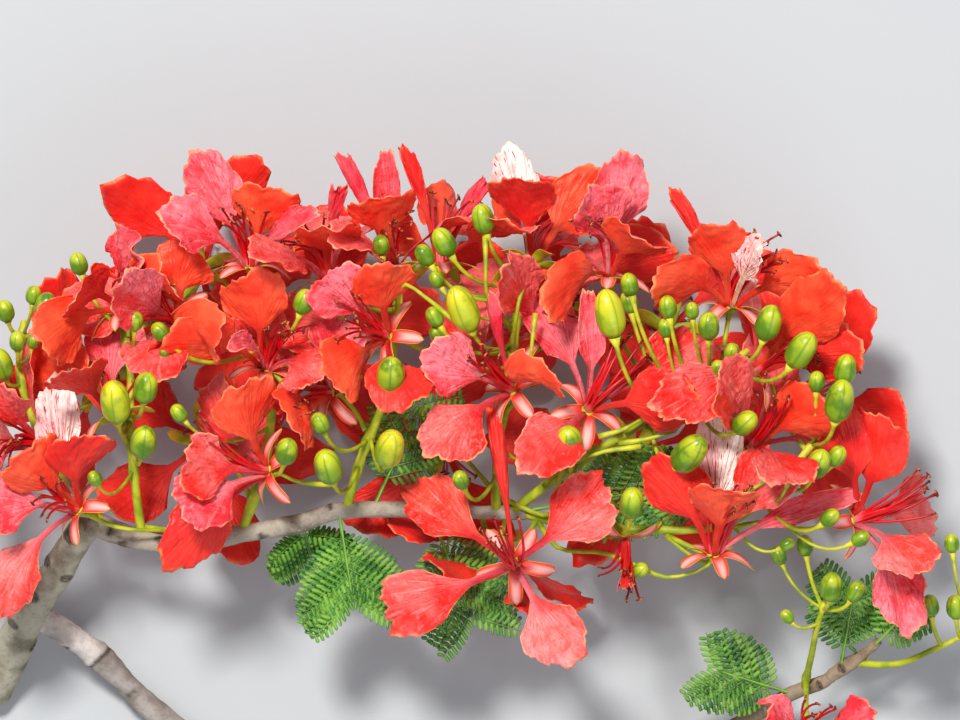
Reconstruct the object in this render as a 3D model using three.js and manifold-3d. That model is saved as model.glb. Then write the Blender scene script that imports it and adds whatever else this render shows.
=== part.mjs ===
// Flowering branch of a flame tree, cut off and laid down: millimetres, +Z up from the surface it lies on.
// Seen from straight above it spreads along X, the crown of bloom towards +Y and the two limbs towards -Y.
import * as THREE from 'three';
import { mergeVertices } from 'three/addons/utils/BufferGeometryUtils.js';
import Module from 'manifold-3d';

const wasm = await Module();
wasm.setup();
const { Manifold, Mesh } = wasm;

// Places are read off the view from above as [across, down, height]: the first two in picture units, the
// third in mm. The whole is then moved so that the origin lies under the middle of its outline.
const mmPerUnit = 0.52;
const pictureMiddle = [480, 360];
const toOrigin = [-4.2, 62.6, 0];

// Real sizes in mm.
const gap = 0.34;
const mergeDistances = [0.06, 0.04, 0.03, 0.02, 0.012, 0.006];
const petalLength = 62;
const petalHalfWidth = 18.5;
const clawHalfWidth = 1.7;
const clawShare = 0.42;
const bladeShare = 0.7;
const petalHalfThickness = 0.5;
const sepalLength = 23;
const sepalNotch = 4.6;
const calyxRadius = 4;
const clawRing = 2.3;
const pedicelRadius = 1.25;
const stamenLength = 47;
const stamenRadii = [1.3, 1.6, 0];
const budStalkRadius = 1.1;
const liftStep = 8;
const petalSpace = 8;
const seenReach = bladeShare * petalLength;

// Petal kinds: which face shows from above, its width beside a plain petal's, and how far it cups across, in
// radians.
const inner = { shows: 1, width: 1, cup: 0.45 };
const outer = { shows: -1, width: 1, cup: 0.6 };
const narrow = { shows: 1, width: 0.5, cup: 1.3 };
const standard = { shows: 1, width: 0.72, cup: 0.6 };
const frilled = { shows: 1, width: 0.85, cup: 0.35 };
const rolled = { shows: -1, width: 0.5, cup: 2.3 };
const unseen = { shows: 0, width: 0.95, cup: 0.5 };

// Petal outlines are sampled at these shares of the length: finest on the nearest blooms, plain kites on the
// hidden ones.
const fineSteps = [0, 0.46, 0.62, 0.89, 1];
const plainSteps = [0, 0.5, 0.78, 1];
const kiteSteps = [0, 0.68, 1];

// Limbs: the places their middle line goes through and the radius at each, in mm.
const limbs = [
  {
    name: 'main_limb', sides: 8,
    path: [[-24, 700, 9.3], [0, 656, 26], [14, 629, 39], [27, 605, 50], [48, 580, 61], [64, 554, 71],
      [86, 523, 82]],
    radii: [11.2, 10.4, 9.9, 9.4, 8.7, 8.2, 7.4],
  },
  {
    name: 'flower_twig', sides: 7,
    path: [[86, 523, 82], [135, 540, 85], [181, 544, 86], [234, 536, 87], [295, 525, 88], [340, 512, 88],
      [413, 510, 88], [470, 513, 88], [526, 513, 87]],
    radii: [6.4, 5.5, 5.4, 5.1, 4.8, 4.5, 4.3, 4.0, 3.6],
  },
  {
    name: 'lower_limb_near', sides: 8,
    path: [[20, 618, 40], [40, 629, 34], [64, 645, 28], [88, 664, 22], [115, 692, 16], [143, 720, 11],
      [215, 772, 7.2], [300, 803, 5.7]],
    radii: [6.9, 6.7, 6.6, 7.1, 6.4, 6.3, 6.0, 5.7],
  },
  {
    name: 'lower_limb_far', sides: 7,
    path: [[300, 803, 5.7], [400, 822, 4.9], [520, 822, 6.5], [630, 798, 12], [716, 752, 22]],
    radii: [5.7, 5.2, 4.8, 4.5, 4.2],
  },
  {
    name: 'lower_right_twig', sides: 6,
    path: [[716, 752, 22], [793, 704, 36], [828, 689, 44], [842, 679, 48], [867, 661, 56], [884, 645, 62]],
    radii: [4.2, 3.8, 3.7, 3.4, 3.1, 2.4],
  },
];
const stub = { path: [[27, 605, 48], [6, 600, 55], [-16, 596, 60]], radii: [6.2, 5.6, 5.3] };

// Flower stalks: the radii along each, its middle line, and its buds as [across, down, height, length in mm].
const racemes = [
  {
    name: 'raceme_right_upper', radii: [2.6, 2.4, 2.1, 1.8, 1.5],
    path: [[512, 513, 88], [571, 467, 100], [640, 425, 110], [690, 392, 112], [748, 350, 110]],
    buds: [[608, 314, 150, 26], [628, 285, 138, 12], [666, 307, 138, 12], [706, 326, 146, 15],
      [765, 323, 148, 20], [797, 350, 152, 22], [687, 452, 148, 28], [742, 422, 146, 16],
      [568, 444, 148, 24]],
  },
  {
    name: 'raceme_right_low', radii: [2.8, 2.6, 2.3, 2.0, 1.6, 1.4],
    path: [[521, 513, 87], [580, 528, 92], [640, 530, 100], [724, 525, 108], [782, 478, 110],
      [832, 420, 106]],
    buds: [[835, 400, 148, 24], [842, 369, 138, 16], [813, 381, 142, 11], [814, 462, 148, 17],
      [834, 455, 136, 12], [827, 516, 136, 11], [630, 501, 142, 18]],
  },
  {
    name: 'raceme_centre', radii: [2.6, 2.4, 2.2, 2.0, 1.6],
    path: [[496, 513, 88], [498, 450, 100], [508, 380, 108], [517, 320, 108], [524, 262, 102]],
    buds: [[463, 309, 150, 27], [483, 220, 138, 16], [444, 243, 138, 16], [425, 256, 136, 12],
      [435, 317, 144, 11], [461, 478, 148, 11]],
  },
  {
    name: 'raceme_left_centre', radii: [2.6, 2.4, 2.1, 1.8, 1.5],
    path: [[345, 512, 88], [362, 455, 98], [384, 400, 106], [394, 345, 106], [400, 280, 100]],
    buds: [[391, 447, 150, 25], [392, 376, 152, 24], [382, 246, 136, 11], [330, 465, 150, 22],
      [322, 422, 148, 12]],
  },
  {
    name: 'raceme_left', radii: [2.6, 2.4, 2.1, 1.8, 1.5],
    path: [[240, 535, 87], [262, 470, 98], [272, 400, 104], [262, 335, 106], [252, 285, 100]],
    buds: [[289, 450, 148, 16], [306, 302, 144, 14], [164, 332, 146, 11]],
  },
  {
    name: 'raceme_far_left', radii: [2.5, 2.3, 2.0, 1.7, 1.4],
    path: [[140, 541, 85], [134, 485, 96], [130, 430, 104], [130, 370, 104], [118, 310, 100]],
    buds: [[120, 401, 150, 26], [150, 387, 148, 18], [147, 441, 140, 20], [139, 321, 146, 11],
      [80, 264, 118, 12]],
  },
  {
    name: 'raceme_left_edge', radii: [2.3, 2.1, 1.9, 1.7, 1.4],
    path: [[106, 531, 83], [66, 482, 92], [34, 425, 98], [18, 370, 98], [22, 320, 94]],
    buds: [[47, 307, 118, 16], [6, 311, 112, 12], [20, 341, 124, 11], [2, 364, 116, 18]],
  },
  {
    name: 'raceme_lower_near', radii: [1.9, 1.7, 1.5, 1.2],
    path: [[810, 697, 40], [816, 660, 62], [820, 630, 78], [827, 604, 88]],
    buds: [[832, 587, 100, 16], [857, 592, 98, 12], [806, 546, 96, 11]],
  },
  {
    name: 'raceme_lower_end', radii: [1.9, 1.7, 1.5, 1.2],
    path: [[858, 668, 53], [902, 668, 64], [940, 652, 72], [985, 630, 78]],
    buds: [[933, 607, 88, 12], [958, 608, 90, 13], [1004, 600, 88, 12], [1012, 640, 84, 11]],
  },
];

// Blooms: where the calyx is, the way the bloom looks as [across, up, towards the eye], where the middle of
// each petal that shows is seen, and where its stamens end. The first are nearest the eye, and the last lie
// underneath.
const blooms = [
  { at: [514, 562, 122], look: [0.05, -0.15, 1], on: 'raceme_right_low', stamens: [500, 530],
    petals: [[447, 512, inner], [430, 596, inner], [549, 624, inner], [574, 514, inner],
      [499, 455, rolled]] },
  { at: [587, 410, 122], look: [0.3, 0.5, 0.8], on: 'raceme_right_upper', stamens: [636, 338],
    petals: [[553, 326, standard], [590, 335, narrow], [664, 363, inner], [655, 402, outer]] },
  { at: [513, 390, 118], look: [-0.55, 0.4, 0.75], on: 'raceme_centre', stamens: [486, 360],
    petals: [[456, 366, inner], [498, 316, rolled], [459, 426, inner], [533, 380, outer]] },
  { at: [713, 555, 116], look: [0.05, 0.8, 0.35], on: 'raceme_right_low', stamens: [728, 490],
    petals: [[720, 505, outer], [718, 458, standard], [676, 490, outer], [755, 487, inner],
      [800, 510, narrow]] },
  { at: [388, 337, 120], look: [-0.5, 0.35, 0.75], on: 'raceme_left_centre', stamens: [352, 316],
    petals: [[387, 288, outer], [352, 366, outer], [345, 296, inner], [400, 378, outer]] },
  { at: [532, 265, 112], look: [0.1, 0.85, -0.45], on: 'raceme_centre', stamens: [560, 225],
    petals: [[521, 207, outer], [516, 187, standard], [577, 203, outer], [566, 228, narrow]] },
  { at: [730, 308, 108], look: [0.15, 0.9, 0.2], on: 'raceme_right_upper', stamens: [774, 250],
    petals: [[690, 222, rolled], [719, 251, outer], [750, 262, standard], [680, 285, outer],
      [790, 282, outer]] },
  { at: [269, 470, 118], look: [-0.8, 0.1, 0.5], on: 'raceme_left', stamens: [196, 434],
    petals: [[252, 411, outer], [210, 466, inner], [212, 496, inner], [202, 526, outer]] },
  { at: [80, 510, 112], look: [-0.6, 0.4, 0.4], on: 'raceme_left_edge', stamens: [46, 490],
    petals: [[44, 468, outer], [85, 458, outer], [60, 424, standard], [12, 500, inner],
      [18, 570, frilled]] },
  { at: [267, 370, 116], look: [0.1, 0.75, 0.3], on: 'raceme_left', stamens: [285, 330],
    petals: [[257, 303, outer], [250, 345, narrow], [306, 367, inner], [208, 340, outer]] },
  { at: [115, 419, 114], look: [-0.35, 0.8, -0.2], on: 'raceme_far_left', stamens: [95, 370],
    petals: [[60, 371, outer], [112, 346, frilled], [150, 362, inner]] },
  { at: [854, 520, 104], look: [0.8, 0.15, 0.45], on: 'raceme_right_low', stamens: [936, 490],
    petals: [[871, 450, outer], [898, 552, inner], [896, 586, frilled], [840, 446, outer]] },
  { at: [250, 268, 108], look: [0, 0.85, 0.25], on: 'raceme_left', stamens: [242, 215],
    petals: [[216, 192, frilled], [266, 212, outer], [198, 228, inner], [290, 225, narrow]] },
  { at: [440, 266, 100], look: [0.05, 0.95, -0.1], on: 'raceme_centre', stamens: [455, 205],
    petals: [[416, 178, rolled], [448, 213, outer], [475, 198, rolled], [405, 235, outer]] },
  { at: [610, 278, 104], look: [0.1, 0.85, 0.15], on: 'raceme_right_upper', stamens: [594, 225],
    petals: [[631, 243, outer], [620, 196, frilled], [573, 288, outer], [600, 215, inner]] },
  { at: [125, 312, 104], look: [-0.3, 0.8, 0.1], on: 'raceme_far_left', stamens: [150, 290],
    petals: [[130, 258, frilled], [90, 293, outer], [70, 328, outer], [158, 285, outer]] },
  { at: [755, 372, 112], look: [0.6, 0.55, 0.3], on: 'raceme_right_upper', stamens: [800, 352],
    petals: [[805, 315, outer], [824, 352, outer], [700, 388, inner]] },
  { at: [750, 447, 104], look: [0.4, 0.55, 0.5], on: 'raceme_right_low', stamens: [780, 392],
    petals: [[798, 415, outer], [732, 398, inner], [775, 462, inner]] },
  { at: [395, 268, 104], look: [-0.2, 0.95, 0], on: 'raceme_left_centre', stamens: [405, 232],
    petals: [[385, 217, outer], [355, 182, rolled], [388, 190, narrow], [360, 243, inner]] },
  { at: [180, 324, 106], look: [-0.4, 0.3, 0.8], on: 'raceme_far_left', stamens: [160, 296],
    petals: [[203, 332, outer], [160, 356, inner], [146, 300, inner], [186, 270, outer]] },
  { at: [328, 280, 98], look: [-0.2, 0.9, 0.15], on: 'raceme_left_centre', stamens: [308, 236],
    petals: [[330, 237, outer], [336, 205, rolled], [287, 256, inner]] },
  { at: [545, 338, 100], look: [-0.2, 0.7, 0.5], on: 'raceme_centre', stamens: [560, 300],
    petals: [[518, 290, inner], [548, 290, outer]] },
  { at: [330, 392, 104], look: [-0.6, -0.1, 0.7], on: 'raceme_left_centre', stamens: [300, 410],
    petals: [[304, 414, outer], [292, 384, inner], [338, 348, inner]] },
  { at: [46, 446, 98], look: [-0.8, 0.3, 0.3], on: 'raceme_left_edge', stamens: [10, 446],
    petals: [[10, 406, inner], [-12, 452, frilled]] },
  { at: [625, 534, 112], look: [0.05, -1, 0.1], on: 'raceme_right_low', stamens: [618, 580], single: true,
    petals: [[624, 580, rolled]] },
  { at: [806, 752, 92], look: [-0.1, 0.7, 0.5], on: 'raceme_lower_near', stamens: [824, 712],
    petals: [[783, 722, frilled], [848, 726, frilled], [762, 767, outer], [852, 777, inner],
      [806, 790, outer]] },
  { at: [500, 540, 74], look: [-0.4, -0.8, -0.2], on: 'raceme_centre', petals: [[462, 574, outer]] },
  { at: [100, 380, 66], look: [-0.6, 0.2, -0.7], on: 'raceme_left_edge', petals: [] },
  { at: [196, 268, 48.3], look: [-0.1, 0.5, -0.85], on: 'raceme_far_left', petals: [] },
  { at: [318, 330, 58], look: [0.1, 0.2, -0.95], on: 'raceme_left', petals: [] },
  { at: [560, 300, 60], look: [0.1, 0.4, -0.9], on: 'raceme_centre', petals: [] },
  { at: [672, 330, 30], look: [0.1, 0.3, -0.9], on: 'raceme_right_upper', petals: [] },
  { at: [800, 400, 57.5], look: [0.6, 0.2, -0.75], on: 'raceme_right_low', petals: [] },
  { at: [204, 440, 58], look: [-0.2, -0.4, -0.9], on: 'raceme_left', petals: [] },
  { at: [440, 440, 60], look: [0.1, -0.4, -0.9], on: 'raceme_centre', petals: [] },
  { at: [640, 450, 60], look: [0.2, -0.3, -0.9], on: 'raceme_right_upper', petals: [] },
];
const nearBlooms = 9;
const shownBlooms = 18;

// Leaves, twice feathered: the rib's root and tip, how many pairs of feathers it has, and their length in mm.
const leaves = [
  { name: 'leaf_below_twig', root: [338, 512, 88], tip: [352, 600, 96], pairs: 5, feather: 40 },
  { name: 'leaf_below_fork', root: [300, 524, 88], tip: [310, 560, 62], pairs: 4, feather: 34 },
  { name: 'leaf_front', root: [430, 511, 88], tip: [470, 618, 92], pairs: 5, feather: 36 },
  { name: 'leaf_centre', root: [372, 511, 88], tip: [420, 405, 84], pairs: 4, feather: 32 },
  { name: 'leaf_right', root: [518, 513, 87], tip: [660, 490, 74], pairs: 5, feather: 34 },
  { name: 'leaf_lower_near', root: [800, 701, 38], tip: [722, 676, 52], pairs: 4, feather: 30 },
  { name: 'leaf_lower_top', root: [846, 676, 50], tip: [858, 596, 66], pairs: 4, feather: 32 },
  { name: 'leaf_lower_end', root: [880, 649, 61], tip: [912, 612, 78], pairs: 3, feather: 20 },
];
const featherHalfWidth = 4.2;
const featherHalfThickness = 0.36;
const ribRadius = 0.9;

const bloomColour = new THREE.MeshStandardMaterial({ color: 0xe2452f, roughness: 0.6, metalness: 0 });
const stalkColour = new THREE.MeshStandardMaterial({ color: 0x8fae3c, roughness: 0.55, metalness: 0 });
const leafColour = new THREE.MeshStandardMaterial({ color: 0x4e8a35, roughness: 0.6, metalness: 0 });
const barkColour = new THREE.MeshStandardMaterial({ color: 0x9a938a, roughness: 0.9, metalness: 0 });

// Vectors and curves.
const vector = (x, y, z) => new THREE.Vector3(x, y, z);
const add = (a, b, scale = 1) => a.clone().addScaledVector(b, scale);
const spot = ([across, down, height]) =>
  vector((across - pictureMiddle[0]) * mmPerUnit, (pictureMiddle[1] - down) * mmPerUnit, height);
const across = (direction, tangent) => add(direction, tangent, -direction.dot(tangent)).normalize();
const eye = vector(0, 0, 1);

function through(places) {
  const line = new THREE.CatmullRomCurve3(places.map(spot), false, 'catmullrom', 0.5);
  return (t) => line.getPoint(t);
}

function arc(start, bend, end) {
  return (t) => start.clone().multiplyScalar((1 - t) ** 2).addScaledVector(bend, 2 * t * (1 - t))
    .addScaledVector(end, t * t);
}

// The place on a curve nearest to a point, as a share of its length, found by even steps.
function nearest(curve, point, steps = 60) {
  let best = 0;
  for (let k = 1; k <= steps; k += 1) {
    if (curve(k / steps).distanceTo(point) < curve(best).distanceTo(point)) best = k / steps;
  }
  return best;
}

// Two unit vectors square to the way a bloom looks, and the direction at an angle round it.
function roundAxis(look) {
  const side = look.clone().cross(Math.abs(look.y) > 0.9 ? vector(1, 0, 0) : vector(0, 1, 0)).normalize();
  const up = look.clone().cross(side);
  return (angle) => side.clone().multiplyScalar(Math.cos(angle)).addScaledVector(up, Math.sin(angle));
}

// A closed solid from a geometry whose points are moved by place(x, y, z). Faces that the move flattens are
// dropped.
function solid(geometry, place, distance = 1e-4) {
  const position = geometry.attributes.position;
  for (let k = 0; k < position.count; k += 1) {
    const p = place(position.getX(k), position.getY(k), position.getZ(k));
    position.setXYZ(k, p.x, p.y, p.z);
  }
  geometry.deleteAttribute('normal');
  geometry.deleteAttribute('uv');
  const merged = mergeVertices(geometry, distance);
  const corners = [];
  const index = merged.index.array;
  for (let k = 0; k < index.length; k += 3) {
    const [a, b, c] = [index[k], index[k + 1], index[k + 2]];
    if (a !== b && b !== c && c !== a) corners.push(a, b, c);
  }
  const mesh = new Mesh({
    numProp: 3,
    vertProperties: new Float32Array(merged.attributes.position.array),
    triVerts: new Uint32Array(corners),
  });
  mesh.merge();
  return new Manifold(mesh);
}

// A tapering tube along a curve, with a ring for each radius, at even steps or at the shares given. Clearance
// makes it that much fatter and longer.
function tube(curve, radii, sides, clearance = 0, shares = null) {
  const steps = radii.length - 1;
  const rings = [];
  let side = vector(0.31, 0.2, 0.93);
  for (let k = 0; k <= steps; k += 1) {
    const t = shares ? shares[k] : k / steps;
    const tangent = curve(Math.min(1, t + 0.01)).sub(curve(Math.max(0, t - 0.01))).normalize();
    side = across(side, tangent);
    rings.push({ middle: curve(t), tangent, side, other: side.clone().cross(tangent) });
  }
  return solid(new THREE.CylinderGeometry(1, 1, 1, sides, steps), (x, y, z) => {
    const k = Math.round((y + 0.5) * steps);
    const { middle, tangent, side: first, other } = rings[k];
    const end = k === 0 ? -clearance : k === steps ? clearance : 0;
    const radius = radii[k] + clearance;
    return add(add(add(middle, tangent, end), first, x * radius), other, z * radius);
  });
}

// A thin blade, thickest along its middle and sharp at its edges. surface(t, v, side) gives its points.
function blade(steps, surface) {
  const rows = steps.length - 1;
  return solid(new THREE.BoxGeometry(2, 1, 2, 2, rows, 1), (x, y, z) =>
    surface(steps[Math.round((y + 0.5) * rows)], x, z));
}

// The half width of a petal: a narrow claw, then a round blade.
function petalWidth(t) {
  const claw = clawHalfWidth * (0.8 + t);
  if (t <= clawShare) return claw;
  const q = (t - clawShare) / (1 - clawShare);
  const round = petalHalfWidth * Math.max(0, Math.sin(Math.PI * q ** 1.1)) ** 0.62;
  return t < 0.6 ? Math.max(claw, round) : round;
}

function petalPoint(petal, t, v, side = 0, clearance = 0) {
  const { base, bend, tip, faces, kind } = petal;
  const stretched = t + (2 * t - 1) * (clearance / petalLength);
  const middle = arc(base, bend, tip)(stretched);
  const tangent = bend.clone().sub(base).multiplyScalar(1 - t).addScaledVector(tip.clone().sub(bend), t);
  tangent.normalize();
  const normal = across(faces, tangent);
  const sideways = tangent.clone().cross(normal);
  const half = petalWidth(t) * kind.width + clearance;
  const turn = kind.cup * v;
  const thick = (petalHalfThickness * (1 - v * v) * (petalWidth(t) > 0.3 ? 1 : 0) + clearance) * side;
  return add(middle, sideways, (half * Math.sin(turn)) / kind.cup - thick * Math.sin(turn))
    .addScaledVector(normal, (half * (1 - Math.cos(turn))) / kind.cup + thick * Math.cos(turn));
}

// A petal whose blade has its middle at centre, measured from the calyx. It leaves along the way the bloom
// looks.
function petalTo(base, look, centre, kind, lift) {
  const goal = add(centre, eye, lift);
  const heading = add(goal.clone().normalize(), look, 0.6).normalize();
  const bend = heading.multiplyScalar(0.42 * petalLength);
  const tip = add(goal, bend, -2 * bladeShare * (1 - bladeShare)).divideScalar(bladeShare ** 2);
  const faces = look.clone().multiplyScalar(kind.shows ? 0.5 : 1).addScaledVector(eye, kind.shows);
  const root = add(base, across(centre, look), clawRing);
  return { base: root, bend: add(base, bend), tip: add(base, tip), faces, kind };
}

// The middle of a petal's blade from where it is seen: what the view foreshortens goes into depth.
function seenCentre(base, look, [seenAcross, seenDown]) {
  const flat = spot([seenAcross, seenDown, 0]).sub(vector(base.x, base.y, 0));
  const depth = Math.sqrt(Math.max(0, seenReach ** 2 - flat.lengthSq())) * (look.z < 0 ? -1 : 1);
  return vector(flat.x, flat.y, depth * 0.8);
}

const spread = 1.2;
const ringDirection = (look, angle) =>
  look.clone().multiplyScalar(Math.cos(spread)).addScaledVector(roundAxis(look)(angle), Math.sin(spread));

// Each bloom has five petals: those that are seen, then the places round it that are furthest from them.
function petalCentres(bloom, base, look, number) {
  const centres = bloom.petals.map(([x, y, kind]) => ({ centre: seenCentre(base, look, [x, y]), kind }));
  const ring = [0, 1, 2, 3, 4].map((k) => ringDirection(look, number + (k * 2 * Math.PI) / 5));
  while (centres.length < 5 && !bloom.single) {
    const room = ring.map((way) => Math.min(4, ...centres.map(({ centre }) => centre.angleTo(way))));
    const way = ring[room.indexOf(Math.max(...room))];
    centres.push({ centre: way.clone().multiplyScalar(seenReach), kind: unseen });
  }
  return centres;
}

// Points spread over a petal, which tell how near it comes to others.
const feelers = [0.5, 0.7, 0.9].flatMap((t) => [-0.8, 0, 0.8].map((v) => [t, v]));
const feel = (petal) => feelers.map(([t, v]) => petalPoint(petal, t, v));

// Petals are laid in order, each lifted or lowered along the view until it is clear of those laid before.
const laid = [];
function layPetal(base, look, { centre, kind }, own) {
  let best = null;
  for (const lift of [0, 1, -1, 2, -2, 3, -3]) {
    const petal = petalTo(base, look, centre, kind, lift * liftStep);
    const points = feel(petal);
    let crowding = Math.abs(lift) * 1.5;
    for (const other of laid) {
      for (const p of points) crowding += Math.max(0, petalSpace - p.distanceTo(other));
    }
    const low = Math.min(...points.map((p) => p.z));
    if (low < 2) crowding += 20 * (2 - low);
    if (!best || crowding < best.crowding - 1e-6) best = { crowding, petal, points };
  }
  own.push(...best.points);
  return best.petal;
}

function makeBloom(bloom, number) {
  const base = spot(bloom.at);
  const look = vector(...bloom.look).normalize();
  const own = [];
  const petals = petalCentres(bloom, base, look, number).map((seen) => layPetal(base, look, seen, own));
  laid.push(...own);
  return { ...bloom, base, look, petals, number, name: `bloom_${String(number).padStart(2, '0')}` };
}

// The place beside a stalk from which a pedicel leaves it for a bloom, just clear of the stalk's surface.
function besideAxis(axis, radii, goal) {
  const t = Math.max(0.06, nearest(axis, goal) - 0.1);
  const radius = THREE.MathUtils.lerp(radii[0], radii.at(-1), t);
  const tangent = axis(t + 0.02).sub(axis(t - 0.02)).normalize();
  return add(axis(t), across(goal.clone().sub(axis(t)), tangent), radius + gap + 0.5 * pedicelRadius);
}

// The pedicel runs from the stalk's middle line to the calyx, which it meets from behind.
function pedicelCurve(bloom) {
  const { path, radii } = racemes.find(({ name }) => name === bloom.on);
  const root = besideAxis(through(path), radii, bloom.base);
  const reach = root.distanceTo(bloom.base);
  return arc(root, add(bloom.base, bloom.look, -0.45 * reach), add(bloom.base, bloom.look, 1));
}

const coreRadii = [pedicelRadius * 1.3, pedicelRadius, pedicelRadius, calyxRadius * 0.75, calyxRadius];
const core = (bloom, clearance) => tube(pedicelCurve(bloom), coreRadii, 4, clearance);

function sepalStar(bloom, clearance) {
  const round = roundAxis(bloom.look);
  return solid(new THREE.CylinderGeometry(1, 1, 1, 10, 1), (x, y, z) => {
    const height = Math.sign(y) * clearance;
    if (Math.hypot(x, z) < 0.5) return add(bloom.base, bloom.look, Math.sign(y) * 1.5 - 2.4 + height);
    const angle = Math.atan2(z, x);
    const tip = Math.round((angle / Math.PI) * 5) % 2 === 0;
    const way = round(-angle + bloom.number + Math.PI / 5);
    const radius = (tip ? sepalLength : sepalNotch) + clearance;
    return add(add(bloom.base, way, radius), bloom.look, (tip ? -5 : -2.4) + height);
  });
}

// The bundle of stamens, which ends where it is seen to.
function stamenCurve(bloom) {
  const goal = spot([...bloom.stamens, 0]).sub(vector(bloom.base.x, bloom.base.y, 0));
  goal.z = 0.7 * Math.sqrt(Math.max(0, stamenLength ** 2 - goal.lengthSq())) * (bloom.look.z < 0 ? -1 : 1);
  return arc(bloom.base, add(bloom.base, bloom.look, 0.5 * stamenLength), add(bloom.base, goal));
}

function bloomParts(bloom, clearance) {
  const { number } = bloom;
  const steps = number <= nearBlooms ? fineSteps : number <= shownBlooms ? plainSteps : kiteSteps;
  const petals = bloom.petals.map((petal) =>
    blade(steps, (t, v, side) => petalPoint(petal, t, v, side, clearance)));
  if (number > nearBlooms) return petals;
  return [...petals, sepalStar(bloom, clearance), tube(stamenCurve(bloom), stamenRadii, 3, clearance)];
}

// A bud is an egg on a stalk that leaves the raceme at a slant: one tube that swells at its end.
function budSolid(axis, [x, y, z, length], clearance) {
  const middle = spot([x, y, z]);
  const root = axis(Math.max(0.05, nearest(axis, middle) - 0.08));
  const way = add(middle.clone().sub(root).normalize(), vector(0, 1, 0), 0.9).normalize();
  const half = (length / 2) * THREE.MathUtils.clamp(0.92 - 0.013 * length, 0.55, 0.82);
  const foot = add(middle, way, -length / 2);
  const stalkLength = root.distanceTo(foot);
  const stalk = arc(root, add(foot, way, -0.5 * stalkLength), foot);
  const share = stalkLength / (stalkLength + length);
  const line = (t) => (t < share ? stalk(t / share) : add(foot, way, ((t - share) / (1 - share)) * length));
  const shares = [0, share * 0.5, share, share + (1 - share) * 0.4, share + (1 - share) * 0.78, 1];
  const radii = [budStalkRadius, budStalkRadius, budStalkRadius, half, half * 0.7, 0];
  return tube(line, radii, 4, clearance, shares);
}

// A leaf's rib and its feathers, each a thin blade that droops a little.
function leafParts(leaf, blocked) {
  const root = spot(leaf.root);
  const tip = spot(leaf.tip);
  const along = tip.clone().sub(root);
  const rib = arc(root, add(add(root, along, 0.5), eye, 6), tip);
  const sideways = along.clone().normalize().cross(eye).normalize();
  const parts = [tube(rib, [ribRadius * 1.2, ribRadius, ribRadius * 0.8], 4)];
  for (let k = 0; k < leaf.pairs; k += 1) {
    for (const hand of [-1, 1]) {
      const start = rib(0.3 + (0.68 * k) / (leaf.pairs - 1));
      const heading = add(along.clone().normalize().multiplyScalar(0.62), sideways, hand * 0.78);
      const length = leaf.feather * (1 - 0.35 * Math.abs(k / (leaf.pairs - 1) - 0.45));
      const end = add(start, heading, length).addScaledVector(eye, -3 - 2 * (k % 2));
      const middle = add(add(start, heading, length * 0.5), eye, 2.5);
      const line = arc(start, middle, end);
      const wide = eye.clone().cross(heading).normalize();
      const feather = blade([0, 0.45, 1], (t, v, side) => {
        const inside = t === 0 || t === 1 ? 0 : 1;
        return add(add(line(t), wide, -v * featherHalfWidth * inside), eye,
          side * featherHalfThickness * inside * (1 - Math.abs(v)));
      });
      if (!blocked(feather)) parts.push(feather);
    }
  }
  return parts;
}

function geometryOf(body) {
  const { vertProperties, triVerts } = body.getMesh();
  const geometry = new THREE.BufferGeometry();
  geometry.setAttribute('position', new THREE.BufferAttribute(vertProperties, 3));
  geometry.setIndex(new THREE.BufferAttribute(triVerts, 1));
  return geometry;
}

// Whether two boxes come together.
function meets(a, b) {
  const [p, q] = [a.boundingBox(), b.boundingBox()];
  return [0, 1, 2].every((k) => p.min[k] < q.max[k] && q.min[k] < p.max[k]);
}

// Whether each edge of a solid, told by where its ends are, lies between just two faces.
function closes(body) {
  const { vertProperties, triVerts } = body.getMesh();
  const place = (k) => [0, 1, 2].map((j) => vertProperties[3 * k + j].toFixed(3)).join(' ');
  const places = Array.from({ length: vertProperties.length / 3 }, (_, k) => place(k));
  const uses = new Map();
  for (let k = 0; k < triVerts.length; k += 1) {
    const next = k % 3 === 2 ? k - 2 : k + 1;
    const edge = [places[triVerts[k]], places[triVerts[next]]].sort().join('|');
    uses.set(edge, (uses.get(edge) ?? 0) + 1);
  }
  return [...uses.values()].every((count) => count === 2);
}

// The height of a solid's thinnest face.
function thinnest(body) {
  const { vertProperties, triVerts } = body.getMesh();
  const corner = (k) => vector(...vertProperties.slice(3 * triVerts[k], 3 * triVerts[k] + 3));
  let least = Infinity;
  for (let k = 0; k < triVerts.length; k += 3) {
    const { a, b, c } = new THREE.Triangle(corner(k), corner(k + 1), corner(k + 2));
    const longest = Math.max(a.distanceTo(b), b.distanceTo(c), c.distanceTo(a));
    least = Math.min(least, (2 * new THREE.Triangle(a, b, c).getArea()) / longest);
  }
  return least;
}

// What is left of a solid clear of the others, less what that cuts loose from its biggest piece. Of the
// copies with near corners merged, the one that closes and has the fewest slivers is kept.
function clearOf(body, others) {
  const near = others.filter((other) => meets(body, other));
  const cut = near.length ? Manifold.difference([body, ...near]) : body;
  const biggest = (whole) => whole.decompose().reduce((a, b) => (b.volume() > a.volume() ? b : a));
  const whole = geometryOf(biggest(cut));
  const tidied = mergeDistances.map((distance) => biggest(solid(whole.clone(), vector, distance)));
  return tidied.filter(closes).reduce((a, b) => (thinnest(b) > thinnest(a) ? b : a));
}

const group = new THREE.Group();
function show(name, body, material) {
  const geometry = geometryOf(body);
  geometry.computeVertexNormals();
  const mesh = new THREE.Mesh(geometry, material);
  mesh.name = name;
  group.add(mesh);
}

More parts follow.
